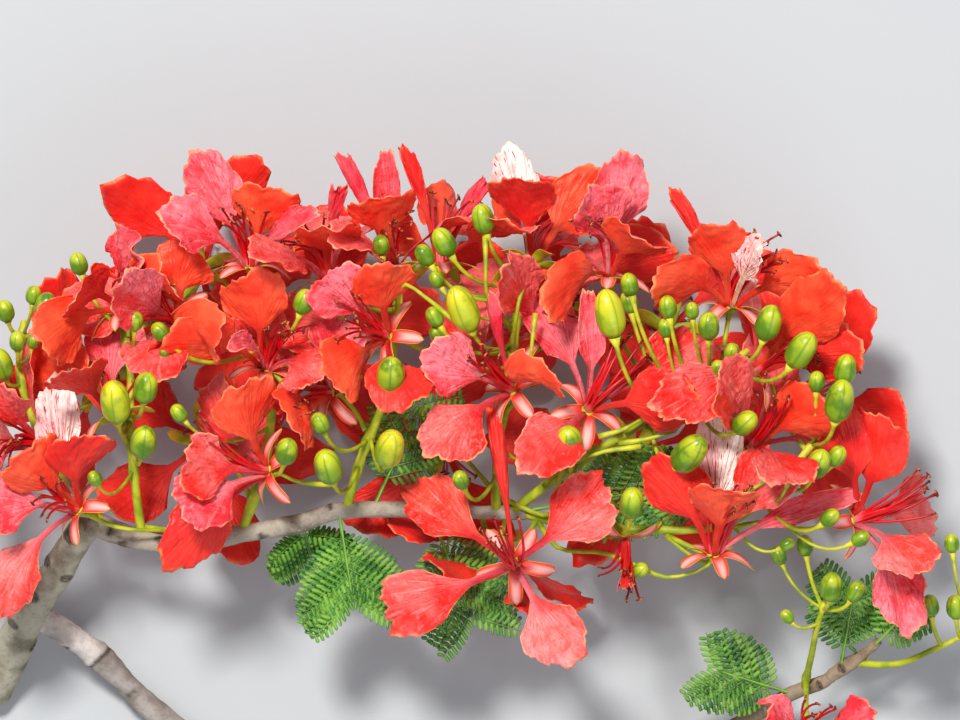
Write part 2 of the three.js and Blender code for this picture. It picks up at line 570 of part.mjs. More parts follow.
// Each solid that stands is kept with its fatter twin, which cuts or stops what comes after.
const kept = [];
for (const { name, path, radii, sides } of limbs) {
  const parts = (clearance) => [
    tube(through(path), radii, sides, clearance),
    ...(name === 'main_limb' ? [tube(through(stub.path), stub.radii, 7, clearance)] : []),
  ];
  show(name, clearOf(Manifold.union(parts(0)), kept), barkColour);
  kept.push(Manifold.union(parts(gap)));
}

for (const raceme of racemes) {
  const axis = through(raceme.path);
  const parts = (clearance) => [
    tube(axis, raceme.radii, 5, clearance),
    ...raceme.buds.map((bud) => budSolid(axis, bud, clearance)),
  ];
  show(raceme.name, clearOf(Manifold.union(parts(0)), kept), stalkColour);
  kept.push(Manifold.union(parts(gap)));
}

const made = blooms.map((bloom, k) => makeBloom(bloom, k + 1));
const cores = made.map((bloom) => core(bloom, gap));
const open = [];
for (const [k, bloom] of made.entries()) {
  const body = Manifold.union([core(bloom, 0), ...bloomParts(bloom, 0)]);
  const others = [...kept, ...cores.filter((other, j) => j !== k), ...open];
  show(bloom.name, clearOf(body, others), bloomColour);
  open.push(Manifold.union(bloomParts(bloom, gap)));
}
kept.push(...cores, ...open);

for (const leaf of leaves) {
  const blocked = (part) =>
    kept.some((other) => meets(part, other) && !Manifold.intersection([part, other]).isEmpty());
  const body = Manifold.union(leafParts(leaf, blocked));
  show(leaf.name, clearOf(body, kept), leafColour);
}

group.position.set(...toOrigin);
export default group;
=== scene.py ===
# %% [markdown]
# # A cut flowering branch of a flame tree
# The branch lies on its side on a pale floor, and the camera looks straight down on it. A grey limb comes
# in at one end, a grey-brown twig goes on from its tip, and a paler limb leaves its side. Nine flower
# stalks carry red blooms and green buds, and feathered leaves hang between them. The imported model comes
# in first: it fixes every size and place, and what follows dresses it.

# %% Load the frame
import math

import bpy
import numpy as np
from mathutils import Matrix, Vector


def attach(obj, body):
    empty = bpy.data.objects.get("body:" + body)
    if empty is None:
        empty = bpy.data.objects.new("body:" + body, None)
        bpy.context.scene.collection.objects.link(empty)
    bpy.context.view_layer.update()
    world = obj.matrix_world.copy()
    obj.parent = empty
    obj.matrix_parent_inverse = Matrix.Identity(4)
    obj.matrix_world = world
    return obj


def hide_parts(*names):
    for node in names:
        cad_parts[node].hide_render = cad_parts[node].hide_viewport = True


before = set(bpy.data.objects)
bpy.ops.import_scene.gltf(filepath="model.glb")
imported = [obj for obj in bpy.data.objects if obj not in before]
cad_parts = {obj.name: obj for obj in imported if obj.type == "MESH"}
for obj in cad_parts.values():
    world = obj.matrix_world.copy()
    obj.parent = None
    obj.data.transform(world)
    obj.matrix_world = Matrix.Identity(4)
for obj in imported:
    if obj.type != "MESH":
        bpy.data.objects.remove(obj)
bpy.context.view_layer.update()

# %% [markdown]
# ## Places
# The branch was laid out on a view from above. A place there is across and down in picture units and a
# height in mm, and one rule turns it into mm in the frame. Everything is worked out in mm and turned into
# metres when a mesh is made.

# %% The rule for places
MM = 0.001
MM_PER_UNIT = 0.52
PICTURE_WIDTH = 960
PICTURE_MIDDLE = (480, 360)
TO_ORIGIN = np.array([-4.2, 62.6, 0.0])
EYE = np.array([0.0, 0.0, 1.0])


def place(across, down, height):
    """The place in mm, in the frame, of a spot on the view from above."""
    flat = [(across - PICTURE_MIDDLE[0]) * MM_PER_UNIT, (PICTURE_MIDDLE[1] - down) * MM_PER_UNIT]
    return np.array([*flat, height]) + TO_ORIGIN


print("picture middle lies at", place(*PICTURE_MIDDLE, 0))

# %% [markdown]
# ## Camera and light
# A long lens from far off shows every height at nearly one scale, as a picture of a branch across a
# garden does. One large soft light stands for the sun beyond the top of the picture, a second fills the
# shadows, and the pale floor throws some light back up into the petals.

# %% Camera and lights
CAMERA_DISTANCE = 3200
CAMERA_PLANE = 107
camera_data = bpy.data.cameras.new("camera")
camera_data.sensor_width = 36
camera_data.lens = camera_data.sensor_width * CAMERA_DISTANCE / (PICTURE_WIDTH * MM_PER_UNIT)
camera = bpy.data.objects.new("camera", camera_data)
camera.location = place(*PICTURE_MIDDLE, CAMERA_PLANE + CAMERA_DISTANCE) * MM
bpy.context.scene.collection.objects.link(camera)
bpy.context.scene.camera = camera


def soft_light(name, spot, size, power, colour):
    """A square soft light that shines on the middle of the branch."""
    data = bpy.data.lights.new(name, "AREA")
    data.size = size
    data.energy = power
    data.color = colour
    light = bpy.data.objects.new(name, data)
    light.location = spot
    aim = Vector(place(*PICTURE_MIDDLE, CAMERA_PLANE) * MM)
    light.rotation_euler = (light.location - aim).to_track_quat("Z", "Y").to_euler()
    bpy.context.scene.collection.objects.link(light)


soft_light("sun side", (-0.6, 1.25, 3.0), 0.55, 118, (1.0, 0.97, 0.92))
soft_light("fill", (1.0, -1.6, 2.4), 1.8, 22, (0.95, 0.97, 1.0))
world = bpy.data.worlds.new("studio")
world.use_nodes = True
world.node_tree.nodes["Background"].inputs["Color"].default_value = (0.93, 0.96, 1.0, 1)
world.node_tree.nodes["Background"].inputs["Strength"].default_value = 0.4
bpy.context.scene.world = world
bpy.context.scene.view_settings.view_transform = "Standard"
print("lens", round(camera_data.lens, 1), "mm")

# %% [markdown]
# ## Writing shader sums
# A small class wraps a node's socket, so that sums on it read like arithmetic. Another class builds a
# material: one method adds any node, with its settings first and then the values or links of its sockets.

# %% Sockets as numbers
class Wire:
    """A socket's number or colour. Sums on it add Math nodes."""

    def __init__(self, finish, socket):
        self.finish, self.socket = finish, socket

    def math(self, operation, *others):
        return self.finish.node("Math", {"operation": operation}, dict(enumerate([self, *others])))

    def __add__(self, other):
        return self.math("ADD", other)

    def __sub__(self, other):
        return self.math("SUBTRACT", other)

    def __mul__(self, other):
        return self.math("MULTIPLY", other)

    def __rsub__(self, other):
        return self.finish.node("Math", {"operation": "SUBTRACT"}, {0: other, 1: self})

    def __abs__(self):
        return self.math("ABSOLUTE")

    __radd__ = __add__
    __rmul__ = __mul__


print("sums on sockets ready")


# %% A material under construction
def ink(*levels):
    """A colour from its red, green and blue on a screen, 0 to 255, as a shader's linear values."""
    shares = [level / 255 for level in levels]
    return (*[s / 12.92 if s <= 0.04045 else ((s + 0.055) / 1.055) ** 2.4 for s in shares], 1)


class Finish:
    """A material built from nodes round one Principled shader."""

    def __init__(self, name, **constants):
        self.material = bpy.data.materials.new(name)
        self.material.use_nodes = True
        self.tree = self.material.node_tree
        self.shader = self.tree.nodes["Principled BSDF"]
        for socket, value in constants.items():
            self.shader.inputs[socket.replace("_", " ")].default_value = value

    def node(self, kind, settings=None, inputs=None, output=0):
        made = self.tree.nodes.new("ShaderNode" + kind)
        for key, value in (settings or {}).items():
            setattr(made, key, value)
        for key, value in (inputs or {}).items():
            self.feed(made.inputs[key], value)
        return Wire(self, made.outputs[output])

    def feed(self, socket, value):
        if isinstance(value, Wire):
            self.tree.links.new(value.socket, socket)
        else:
            socket.default_value = value

    def object_place(self):
        return self.node("TexCoord", output="Object")

    def along_and_across(self):
        """The piece's own map: 0 to 1 across, and 0 to 1 from root to tip."""
        split = self.node("SeparateXYZ", inputs={0: self.node("UVMap")})
        return Wire(self, split.socket.node.outputs[1]), Wire(self, split.socket.node.outputs[0])

    def noise(self, size, where=None, detail=3.0):
        """Cloudy noise from 0 to 1, with lumps size mm wide. With a place of its own, size is its scale."""
        scale = 1 / (size * MM) if where is None else size
        sockets = {"Vector": where or self.object_place(), "Scale": scale, "Detail": detail}
        return self.node("TexNoise", {}, sockets)

    def step(self, value, start, end):
        """0 below start, 1 above end and smooth between."""
        settings = {"interpolation_type": "SMOOTHSTEP"}
        return self.node("MapRange", settings, {0: value, 1: start, 2: end, 3: 0.0, 4: 1.0})

    def blend(self, share, first, second):
        return self.node("Mix", {"data_type": "RGBA"}, {0: share, 6: first, 7: second}, output=2)

    def finish(self, colour, roughness, height, depth):
        """Joins up the shader. depth is the relief's height in mm."""
        self.feed(self.shader.inputs["Base Color"], colour)
        self.feed(self.shader.inputs["Roughness"], roughness)
        bump = self.node("Bump", {}, {"Strength": 1.0, "Distance": depth * MM, "Height": height})
        self.feed(self.shader.inputs["Normal"], bump)
        return self.material


print("shader helpers ready")

# %% [markdown]
# ## Petal finishes
# A flame tree's petal is thin and lit through. Its back is flat orange-red, its face is coral to pink
# with crimson veins that run out of the claw like a fan, and both have a fine pale rim painted along
# stretches of the edge as a highlight. One petal in five, the standard, is white or cream with crimson
# streaks and a yellow base. The veins follow the petal's own map, and the clouding follows the object,
# so that no two petals are alike.

# %% Petal finishes
PETAL_CONSTANTS = {"Subsurface_Weight": 0.12, "Subsurface_Radius": (0.0012, 0.0004, 0.0003),
                   "Subsurface_Scale": 1.0, "Sheen_Weight": 0.03, "Specular_IOR_Level": 0.35}
DRAWN_VEINS = 11


def vein_noise(finish, along, across, fine, stretch):
    """Noise drawn out along the petal, so that it reads as veins that fan out of the claw."""
    drift = finish.node("SeparateXYZ", inputs={0: finish.object_place()})
    spot = finish.node("CombineXYZ", inputs={0: across * fine, 1: along * stretch, 2: drift * 45.0})
    return finish.noise(1.0, spot, 2.0)


def drawn_veins(finish, along, across):
    """1 on fine lines that run from the claw to the edge and waver a little."""
    waver = finish.noise(9) * 0.16 + finish.noise(2.5) * 0.03
    swing = ((across + waver * along) * (math.pi * DRAWN_VEINS)).math("SINE")
    return 1.0 - finish.step(abs(swing), 0.0, 0.3)


def painted_rim_highlight(finish, along, across):
    """Up to 0.6 on stretches of the petal's outer edge, where a pale highlight is painted."""
    side = finish.step(abs(across - 0.5), 0.478, 0.497) * finish.step(along, 0.4, 0.5)
    edge = side.math("MAXIMUM", finish.step(along, 0.972, 0.994))
    return edge * finish.step(finish.noise(8), 0.35, 0.65) * 0.6


def petal_back(name, deep, bright):
    """The outside of a petal."""
    finish = Finish(name, **PETAL_CONSTANTS)
    along, across = finish.along_and_across()
    veins = vein_noise(finish, along, across, 30.0, 2.2)
    clouds = finish.noise(16, detail=2.0)
    colour = finish.blend(finish.step(clouds, 0.3, 0.7), deep, bright)
    colour = finish.blend(finish.step(along, 0.7, 1.0) * finish.noise(5) * 0.5, colour, bright)
    colour = finish.blend(finish.step(veins, 0.5, 0.8) * 0.3, colour, deep)
    # The pale rim on stretches of the edge is a painted highlight.
    colour = finish.blend(painted_rim_highlight(finish, along, across), colour, ink(255, 160, 96))
    crinkle = finish.noise(3) * 0.6 + veins * 0.9
    return finish.finish(colour, 0.36 + clouds * 0.2, crinkle, 0.9)


def petal_face(name, base, pale, vein, streaks, throat):
    """The inside of a petal. throat is the colour of the claw and of the blade where it starts."""
    finish = Finish(name, **PETAL_CONSTANTS)
    along, across = finish.along_and_across()
    veins = vein_noise(finish, along, across, 30.0, 2.6)
    spots = vein_noise(finish, along, across, 40.0, 11.0)
    clouds = finish.noise(17, detail=2.0)
    small = finish.noise(4)
    paleness = finish.step(clouds + small * 0.25 + across * 0.4, 0.6, 1.0)
    colour = finish.blend(paleness, base, pale)
    lines = finish.step(vein_noise(finish, along, across, 17.0, 3.4), 0.56, 0.7)
    colour = finish.blend(lines * finish.step(along, 0.45, 0.7) * 0.2, colour, ink(255, 196, 190))
    middle = 1.0 - finish.step(abs(across - 0.5), 0.08, 0.4)
    colour = finish.blend(finish.step(along, 0.66, 0.2) * 0.9 * middle, colour, throat)
    fading = finish.step(along, 1.05, 0.5)
    drawn = drawn_veins(finish, along, across) * fading * (streaks * 0.7)
    broken = finish.step(veins, 0.54, 0.62) * fading * (streaks * 0.6)
    dotted = finish.step(spots, 0.6, 0.67) * finish.step(along, 0.42, 0.6) * (streaks * 0.6)
    marks = drawn.math("MAXIMUM", broken).math("MAXIMUM", dotted)
    colour = finish.blend(marks, colour, vein)
    # The pale rim on stretches of the edge is a painted highlight.
    colour = finish.blend(painted_rim_highlight(finish, along, across), colour, ink(255, 186, 130))
    creases = abs(finish.noise(7, detail=2.0) - 0.5)
    crinkle = finish.noise(2.8) * 0.5 + veins * 0.7 + creases * 2.6
    return finish.finish(colour, 0.34 + clouds * 0.22, crinkle, 1.1)


print("petal shaders ready")

# %% The colours of petals
petal_finishes = {
    "flame back": petal_back("petal back, flame", ink(240, 44, 22), ink(255, 92, 56)),
    "scarlet back": petal_back("petal back, scarlet", ink(220, 20, 20), ink(250, 54, 40)),
    "rose back": petal_back("petal back, rose", ink(228, 26, 56), ink(252, 92, 104)),
    "coral face": petal_face("petal face, coral", ink(242, 38, 28), ink(252, 104, 100), ink(184, 6, 26), 0.9,
                             ink(240, 74, 96)),
    "red face": petal_face("petal face, red", ink(236, 30, 22), ink(254, 84, 66), ink(178, 4, 20), 0.75,
                           ink(226, 30, 54)),
    "pink face": petal_face("petal face, pink", ink(244, 50, 62), ink(252, 118, 130), ink(188, 6, 40), 1.1,
                            ink(250, 150, 150)),
    "pale face": petal_face("petal face, pale", ink(244, 66, 56), ink(254, 136, 134), ink(200, 18, 36), 0.9,
                            ink(244, 120, 150)),
    "white face": petal_face("standard's face", ink(255, 190, 190), ink(255, 242, 232), ink(180, 6, 40), 1.9,
                             ink(255, 214, 96)),
}
print(len(petal_finishes), "petal finishes")

# %% [markdown]
# ## Finishes of stalks, buds, sepals and stamens
# Living green skins are satin, clouded yellow-green and deeper green, and yellower towards the tip. A
# bud's five sepals meet edge to edge, so its seams run from base to tip. A sepal is green outside. Its
# inside is pale at the heart and red round it, with a yellow rim. The filaments run from pale pink at the
# root to crimson, and the anthers are dark with orange pollen.

# %% Green finishes
def green_skin(name, deep, bright, tip, roughness, gloss, seam=None):
    """A satin green skin, yellower at the tip. seam is the colour of a bud's five seams."""
    finish = Finish(name, Specular_IOR_Level=gloss, Subsurface_Weight=0.08, Subsurface_Scale=1.0,
                    Subsurface_Radius=(0.0006, 0.0009, 0.0002))
    along, across = finish.along_and_across()
    clouds = finish.noise(9)
    colour = finish.blend(finish.step(clouds, 0.38, 0.62), deep, bright)
    colour = finish.blend(finish.step(along, 0.45, 1.0) * finish.step(clouds, 0.3, 0.55), colour, tip)
    specks = finish.step(finish.noise(0.8), 0.62, 0.7)
    colour = finish.blend(specks * 0.22, colour, deep)
    if seam:
        beside = abs((across * 5.0).math("FRACT") - 0.5)
        colour = finish.blend((1.0 - finish.step(beside, 0.01, 0.035)) * 0.6, colour, seam)
        colour = finish.blend((1.0 - finish.step(beside, 0.05, 0.16)) * 0.35, colour, deep)
    return finish.finish(colour, roughness + clouds * 0.12, finish.noise(1.3), 0.12)


def sepal_face(name, heart, edge, rim):
    """A sepal's inner face: pale at heart, red round it, with a yellow rim."""
    finish = Finish(name, Specular_IOR_Level=0.4)
    along, across = finish.along_and_across()
    veins = vein_noise(finish, along, across, 22.0, 2.0)
    out = finish.step(abs(across - 0.5), 0.05, 0.45)
    colour = finish.blend(out.math("MAXIMUM", finish.step(along, 0.62, 0.1)), heart, edge)
    colour = finish.blend(finish.step(veins, 0.5, 0.75) * 0.3, colour, edge)
    rimmed = finish.step(abs(across - 0.5), 0.45, 0.48).math("MAXIMUM", finish.step(along, 0.93, 0.97))
    colour = finish.blend(rimmed, colour, rim)
    return finish.finish(colour, 0.42 + veins * 0.1, veins, 0.25)


def filament(name):
    finish = Finish(name, Specular_IOR_Level=0.5)
    along = finish.along_and_across()[0]
    clouds = finish.noise(3)
    colour = finish.blend(finish.step(along, 0.0, 0.18), ink(250, 130, 140), ink(214, 10, 24))
    colour = finish.blend(finish.step(along, 0.5, 1.0) * 0.85, colour, ink(142, 6, 20))
    return finish.finish(colour, 0.3 + clouds * 0.15, clouds, 0.1)


def anther(name):
    finish = Finish(name, Specular_IOR_Level=0.3)
    clouds = finish.noise(1.4)
    colour = finish.blend(finish.step(clouds, 0.47, 0.6), ink(92, 22, 34), ink(206, 118, 48))
    return finish.finish(colour, 0.6 + clouds * 0.2, finish.noise(0.5), 0.3)


finishes = {
    "bud": green_skin("bud skin", ink(84, 128, 20), ink(128, 166, 30), ink(196, 204, 40), 0.26, 0.5,
                      ink(48, 66, 14)),
    "ripe bud": green_skin("ripe bud skin", ink(136, 166, 26), ink(186, 196, 34), ink(226, 212, 44), 0.25,
                           0.5, ink(92, 84, 16)),
    "stalk": green_skin("flower stalk", ink(140, 160, 24), ink(184, 192, 40), ink(206, 204, 52), 0.42, 0.4),
    "sepal back": green_skin("sepal's back", ink(140, 166, 30), ink(190, 190, 40), ink(232, 190, 44), 0.4,
                             0.4),
    "sepal face": sepal_face("sepal's face", ink(255, 186, 176), ink(236, 52, 50), ink(232, 176, 52)),
    "filament": filament("filament"),
    "anther": anther("anther"),
}
print(len(finishes), "green and stamen finishes")

# %% [markdown]
# ## Finishes of bark and leaf
# Young bark is smooth pale grey with small raised lenticels, brownish where it is youngest, and dark
# inside the scars that old leaves left. Where the branch was cut, pale wood shows with its rings.
# Leaflets are matt mid-green with a paler midrib. The bark's scars are marked on the mesh by an
# attribute, which the colour reads.

# %% Bark, wood and leaf
def bark(name, deep, pale, crack):
    """Clouded bark. crack is the colour of its scars."""
    finish = Finish(name, Specular_IOR_Level=0.2)
    clouds = finish.noise(14, detail=5.0)
    grain = finish.noise(2.2, detail=5.0)
    lenticels = finish.step(finish.noise(1.6), 0.64, 0.72)
    scar = finish.node("Attribute", {"attribute_name": "scar"}, output="Fac")
    colour = finish.blend(finish.step(clouds, 0.3, 0.6), deep, pale)
    colour = finish.blend(finish.step(grain, 0.52, 0.76) * 0.5, colour, deep)
    colour = finish.blend(lenticels * 0.6, colour, ink(206, 196, 178))
    colour = finish.blend(scar, colour, crack)
    return finish.finish(colour, 0.78 + clouds * 0.15, grain * 0.9 + lenticels * 0.5, 0.5)


def cut_wood(name):
    """The end of a cut limb: pale rings inside a green skin."""
    finish = Finish(name, Specular_IOR_Level=0.2)
    along = finish.along_and_across()[0]
    rings = (along * 62.0).math("SINE") * 0.5 + 0.5
    colour = finish.blend(rings * 0.5, ink(222, 196, 148), ink(182, 146, 96))
    colour = finish.blend(finish.step(along, 0.84, 0.92), colour, ink(98, 112, 52))
    return finish.finish(colour, 0.7 + rings * 0.1, rings, 0.15)


def leaflet(name, deep, bright, rib):
    finish = Finish(name, Specular_IOR_Level=0.3, Subsurface_Weight=0.06, Subsurface_Scale=1.0,
                    Subsurface_Radius=(0.0003, 0.0008, 0.0001))
    across = finish.along_and_across()[1]
    clouds = finish.noise(11)
    colour = finish.blend(finish.step(clouds, 0.38, 0.62), deep, bright)
    midrib = 1.0 - finish.step(abs(across - 0.5), 0.02, 0.1)
    colour = finish.blend(midrib * 0.5, colour, rib)
    return finish.finish(colour, 0.5 + clouds * 0.15, midrib, 0.1)


finishes["bark"] = bark("grey bark", ink(122, 115, 98), ink(178, 172, 154), ink(44, 34, 28))
finishes["twig bark"] = bark("twig bark", ink(108, 94, 82), ink(170, 160, 146), ink(46, 34, 28))
finishes["pale bark"] = bark("pale bark", ink(158, 148, 142), ink(206, 198, 192), ink(60, 42, 34))
finishes["young bark"] = bark("young bark", ink(112, 92, 74), ink(158, 140, 118), ink(50, 36, 30))
finishes["cut"] = cut_wood("cut wood")
finishes["leaflet"] = leaflet("leaflet", ink(66, 126, 34), ink(118, 172, 62), ink(176, 208, 112))
# A darker copy of the leaflet finish, given to every third side rib: painted shade.
finishes["dark leaflet"] = leaflet("shaded leaflet", ink(40, 96, 34), ink(76, 134, 54), ink(126, 168, 88))
print(len(finishes), "finishes in all")

# %% [markdown]
# ## From a modelled blank to many copies
# What repeats, such as a petal or a bud, is modelled once as a blank. Its corners are then read into
# arrays, and each copy is those corners carried to their place by a rule. The copies of one kind are
# joined into one mesh, which keeps the number of objects small.

# %% Blanks and pieces
def begin():
    """Nothing selected, in object mode, so that an operator acts on what is added next alone."""
    if bpy.context.object and bpy.context.object.mode != "OBJECT":
        bpy.ops.object.mode_set(mode="OBJECT")
    bpy.ops.object.select_all(action="DESELECT")


def pick(test, kind="VERT"):
    """Selects the active object's corners, edges or faces whose middle passes the test, in edit mode."""
    bpy.ops.object.mode_set(mode="EDIT")
    bpy.ops.mesh.select_mode(type=kind)
    bpy.ops.mesh.select_all(action="DESELECT")
    bpy.ops.object.mode_set(mode="OBJECT")
    mesh = bpy.context.object.data
    corner = np.array([v.co for v in mesh.vertices])
    chosen = {"VERT": mesh.vertices, "EDGE": mesh.edges, "FACE": mesh.polygons}[kind]
    for thing in chosen:
        ends = [thing.index] if kind == "VERT" else list(thing.vertices)
        thing.select = bool(test(corner[ends]))
    bpy.ops.object.mode_set(mode="EDIT")


def harvest():
    """The active object's mesh as arrays. The object is removed."""
    bpy.ops.object.mode_set(mode="OBJECT")
    blank_object = bpy.context.object
    mesh = blank_object.data
    blank = {
        "points": np.array([v.co for v in mesh.vertices]),
        "loops": np.array([loop.vertex_index for loop in mesh.loops]),
        "starts": np.array([face.loop_start for face in mesh.polygons]),
        "slots": np.array([face.material_index for face in mesh.polygons]),
        "map": np.array([spot.uv for spot in mesh.uv_layers.active.data]),
    }
    bpy.data.objects.remove(blank_object)
    print("  blank with", len(blank["starts"]), "faces")
    return blank


def round_map(blank):
    """A map that runs once round Z, without a jump inside any face."""
    corner = blank["points"][blank["loops"]]
    face = np.searchsorted(blank["starts"], np.arange(len(corner)), side="right") - 1
    middle = np.stack([np.add.reduceat(corner[:, k], blank["starts"]) for k in (0, 1)])
    facing = np.arctan2(middle[1], middle[0])[face]
    off = np.arctan2(corner[:, 1], corner[:, 0]) - facing
    off = np.where(np.hypot(corner[:, 0], corner[:, 1]) < 1e-6, 0, (off + math.pi) % (2 * math.pi) - math.pi)
    blank["map"] = np.stack([(facing + off) / (2 * math.pi) + 0.5, corner[:, 2]], axis=1)
    return corner


print("blank helpers ready")


# %% Pieces
FLOOR_GAP = 0.05
triangle_counts = []


def make_piece(name, copies, nodes):
    """One mesh from copies, each (corners in mm, blank, its finishes in slot order, corner values or None).

    Corners that would lie below the floor are lifted just clear of it.
    """
    names = sorted({finish for copy in copies for finish in copy[2]})
    corners, loops, starts, finish_of, spots, values = [], [], [], [], [], []
    corner_count = loop_count = 0
    for points, blank, finish_names, marks in copies:
        corners.append(points)
        loops.append(blank["loops"] + corner_count)
        starts.append(blank["starts"] + loop_count)
        number = np.array([names.index(finish) for finish in finish_names])
        finish_of.append(number[blank["slots"]])
        spots.append(blank["map"])
        values.append(np.zeros(len(points)) if marks is None else marks)
        corner_count += len(points)
        loop_count += len(blank["loops"])
    mesh = bpy.data.meshes.new(name)
    mesh.vertices.add(corner_count)
    place_of = np.concatenate(corners)
    place_of[:, 2] = np.maximum(place_of[:, 2], FLOOR_GAP)
    mesh.vertices.foreach_set("co", (place_of * MM).ravel())
    mesh.loops.add(loop_count)
    mesh.loops.foreach_set("vertex_index", np.concatenate(loops))
    mesh.polygons.add(sum(map(len, starts)))
    mesh.polygons.foreach_set("loop_start", np.concatenate(starts))
    mesh.polygons.foreach_set("material_index", np.concatenate(finish_of))
    mesh.polygons.foreach_set("use_smooth", np.ones(len(mesh.polygons), bool))
    mesh.update(calc_edges=True)
    mesh.uv_layers.new(name="place").data.foreach_set("uv", np.concatenate(spots).ravel())
    if any(copy[3] is not None for copy in copies):
        mesh.attributes.new("scar", "FLOAT", "POINT").data.foreach_set("value", np.concatenate(values))
    for finish in names:
        mesh.materials.append({**petal_finishes, **finishes}[finish])
    mesh.validate()
    piece = bpy.data.objects.new(name, mesh)
    bpy.context.scene.collection.objects.link(piece)
    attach(piece, "root")
    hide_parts(*nodes)
    triangle_counts.append(sum(len(face.vertices) - 2 for face in mesh.polygons))
    print("  ", name, triangle_counts[-1], "triangles")


print("ready to model")

# %% [markdown]
# ## Curves and tubes
# Stalks, limbs and filaments are all one thing: a tube along a smooth line with its own thickness at each
# place. The line of a limb goes through chosen places, and the line of a stalk is an arc with one bend. A
# frame of two square directions is carried along the line without twist, and the tube's blank is laid
# round it.

# %% Vector helpers
START_SIDE = np.array([0.31, 0.2, 0.93])


def unit(v):
    return v / np.linalg.norm(v, axis=-1, keepdims=True)


def square_to(direction, tangent):
    return unit(direction - tangent * np.sum(direction * tangent, axis=-1, keepdims=True))


def pair_across(way):
    """Two directions square to a way and to each other."""
    first = square_to(START_SIDE, way)
    return first, np.cross(way, first)


print("vector helpers ready")


# %% Curves
SEARCH_STEPS = 60


def through(places):
    """A smooth line through places, as a function of the share of its length."""
    return threaded(np.array([place(*spot) for spot in places]))


def threaded(spots):
    """A smooth line through spots in mm."""
    ends = np.vstack([2 * spots[0] - spots[1], spots, 2 * spots[-1] - spots[-2]])

    def line(share):
        run = np.asarray(share, float) * (len(spots) - 1)
        k = np.minimum(np.floor(run).astype(int), len(spots) - 2)
        w = (run - k)[..., None]
        a, b, c, d = (ends[k + j] for j in range(4))
        start, end = (c - a) / 2, (d - b) / 2
        return b + start * w + (3 * (c - b) - 2 * start - end) * w**2 + (2 * (b - c) + start + end) * w**3

    return line


def arc(start, bend, end):
    """A line with one bend."""

    def line(share):
        t = np.asarray(share, float)[..., None]
        return start * (1 - t) ** 2 + bend * 2 * t * (1 - t) + end * t * t

    return line


def nearest(line, point):
    """The share of a line's length that is nearest to a point."""
    shares = np.arange(SEARCH_STEPS + 1) / SEARCH_STEPS
    return shares[np.argmin(np.linalg.norm(line(shares) - point, axis=1))]


print("a bent line's middle", arc(EYE * 0, EYE, EYE * 4)(0.5))


# %% Tubes along curves
def way_along(line, shares):
    """The direction of a line at shares of its length."""
    return unit(line(np.minimum(shares + 0.01, 1)) - line(np.maximum(shares - 0.01, 0)))


def rings_along(line, shares):
    """Middle and two square directions at rising shares of a line, carried along it without twist."""
    middle = line(shares)
    tangent = way_along(line, shares)
    side = np.empty_like(middle)
    kept = START_SIDE
    for k, way in enumerate(tangent):
        kept = square_to(kept, way)
        side[k] = kept
    return middle, side, np.cross(tangent, side)


def sweep(blank, line, radius):
    """Lays a tube's blank along a line. radius(share, angle) is its half width in mm."""
    x, y, z = blank["points"].T
    shares, ring = np.unique(np.round(z, 5), return_inverse=True)
    middle, side, other = rings_along(line, shares)
    angle = np.arctan2(y, x)
    out = radius(z, angle) * np.hypot(x, y)
    aside, beyond = out * np.cos(angle), out * np.sin(angle)
    return middle[ring] + side[ring] * aside[:, None] + other[ring] * beyond[:, None]


def tube(blank, line, radius, skin):
    """A swept blank as a copy for make_piece, with one finish all over."""
    return sweep(blank, line, radius), blank, (skin,) * 3, None


def taper(root, loss):
    """A half width that falls evenly from root, by loss in all."""
    return lambda share, angle: root - loss * share


print("sweeps ready")


# %% Tube blanks
def tube_blank(sides, rings):
    """A closed tube of radius 1 from z 0 to 1: a cylinder cut into rings, with its ends poked."""
    begin()
    bpy.ops.mesh.primitive_cylinder_add(vertices=sides, radius=1, depth=1, location=(0, 0, 0.5))
    bpy.ops.object.transform_apply(location=True)
    bpy.ops.mesh.uv_texture_add()
    pick(lambda ends: abs(ends[0][2] - ends[1][2]) > 0.5, "EDGE")
    bpy.ops.mesh.subdivide(number_cuts=rings - 1)
    pick(lambda corners: np.ptp(corners[:, 2]) < 1e-4, "FACE")
    bpy.ops.mesh.poke()
    blank = harvest()
    corner = round_map(blank)
    lowest = np.minimum.reduceat(corner[:, 2], blank["starts"])
    highest = np.maximum.reduceat(corner[:, 2], blank["starts"])
    blank["slots"] = np.where(highest < 1e-4, 1, np.where(lowest > 1 - 1e-4, 2, 0))
    sizes = np.diff(np.append(blank["starts"], len(blank["loops"])))
    on_end = np.repeat(blank["slots"] > 0, sizes)
    blank["map"][on_end, 1] = np.hypot(corner[on_end, 0], corner[on_end, 1])
    return blank


stalk_blank = tube_blank(10, 16)
pedicel_blank = tube_blank(8, 10)
filament_blank = tube_blank(5, 9)
print("three tubes")
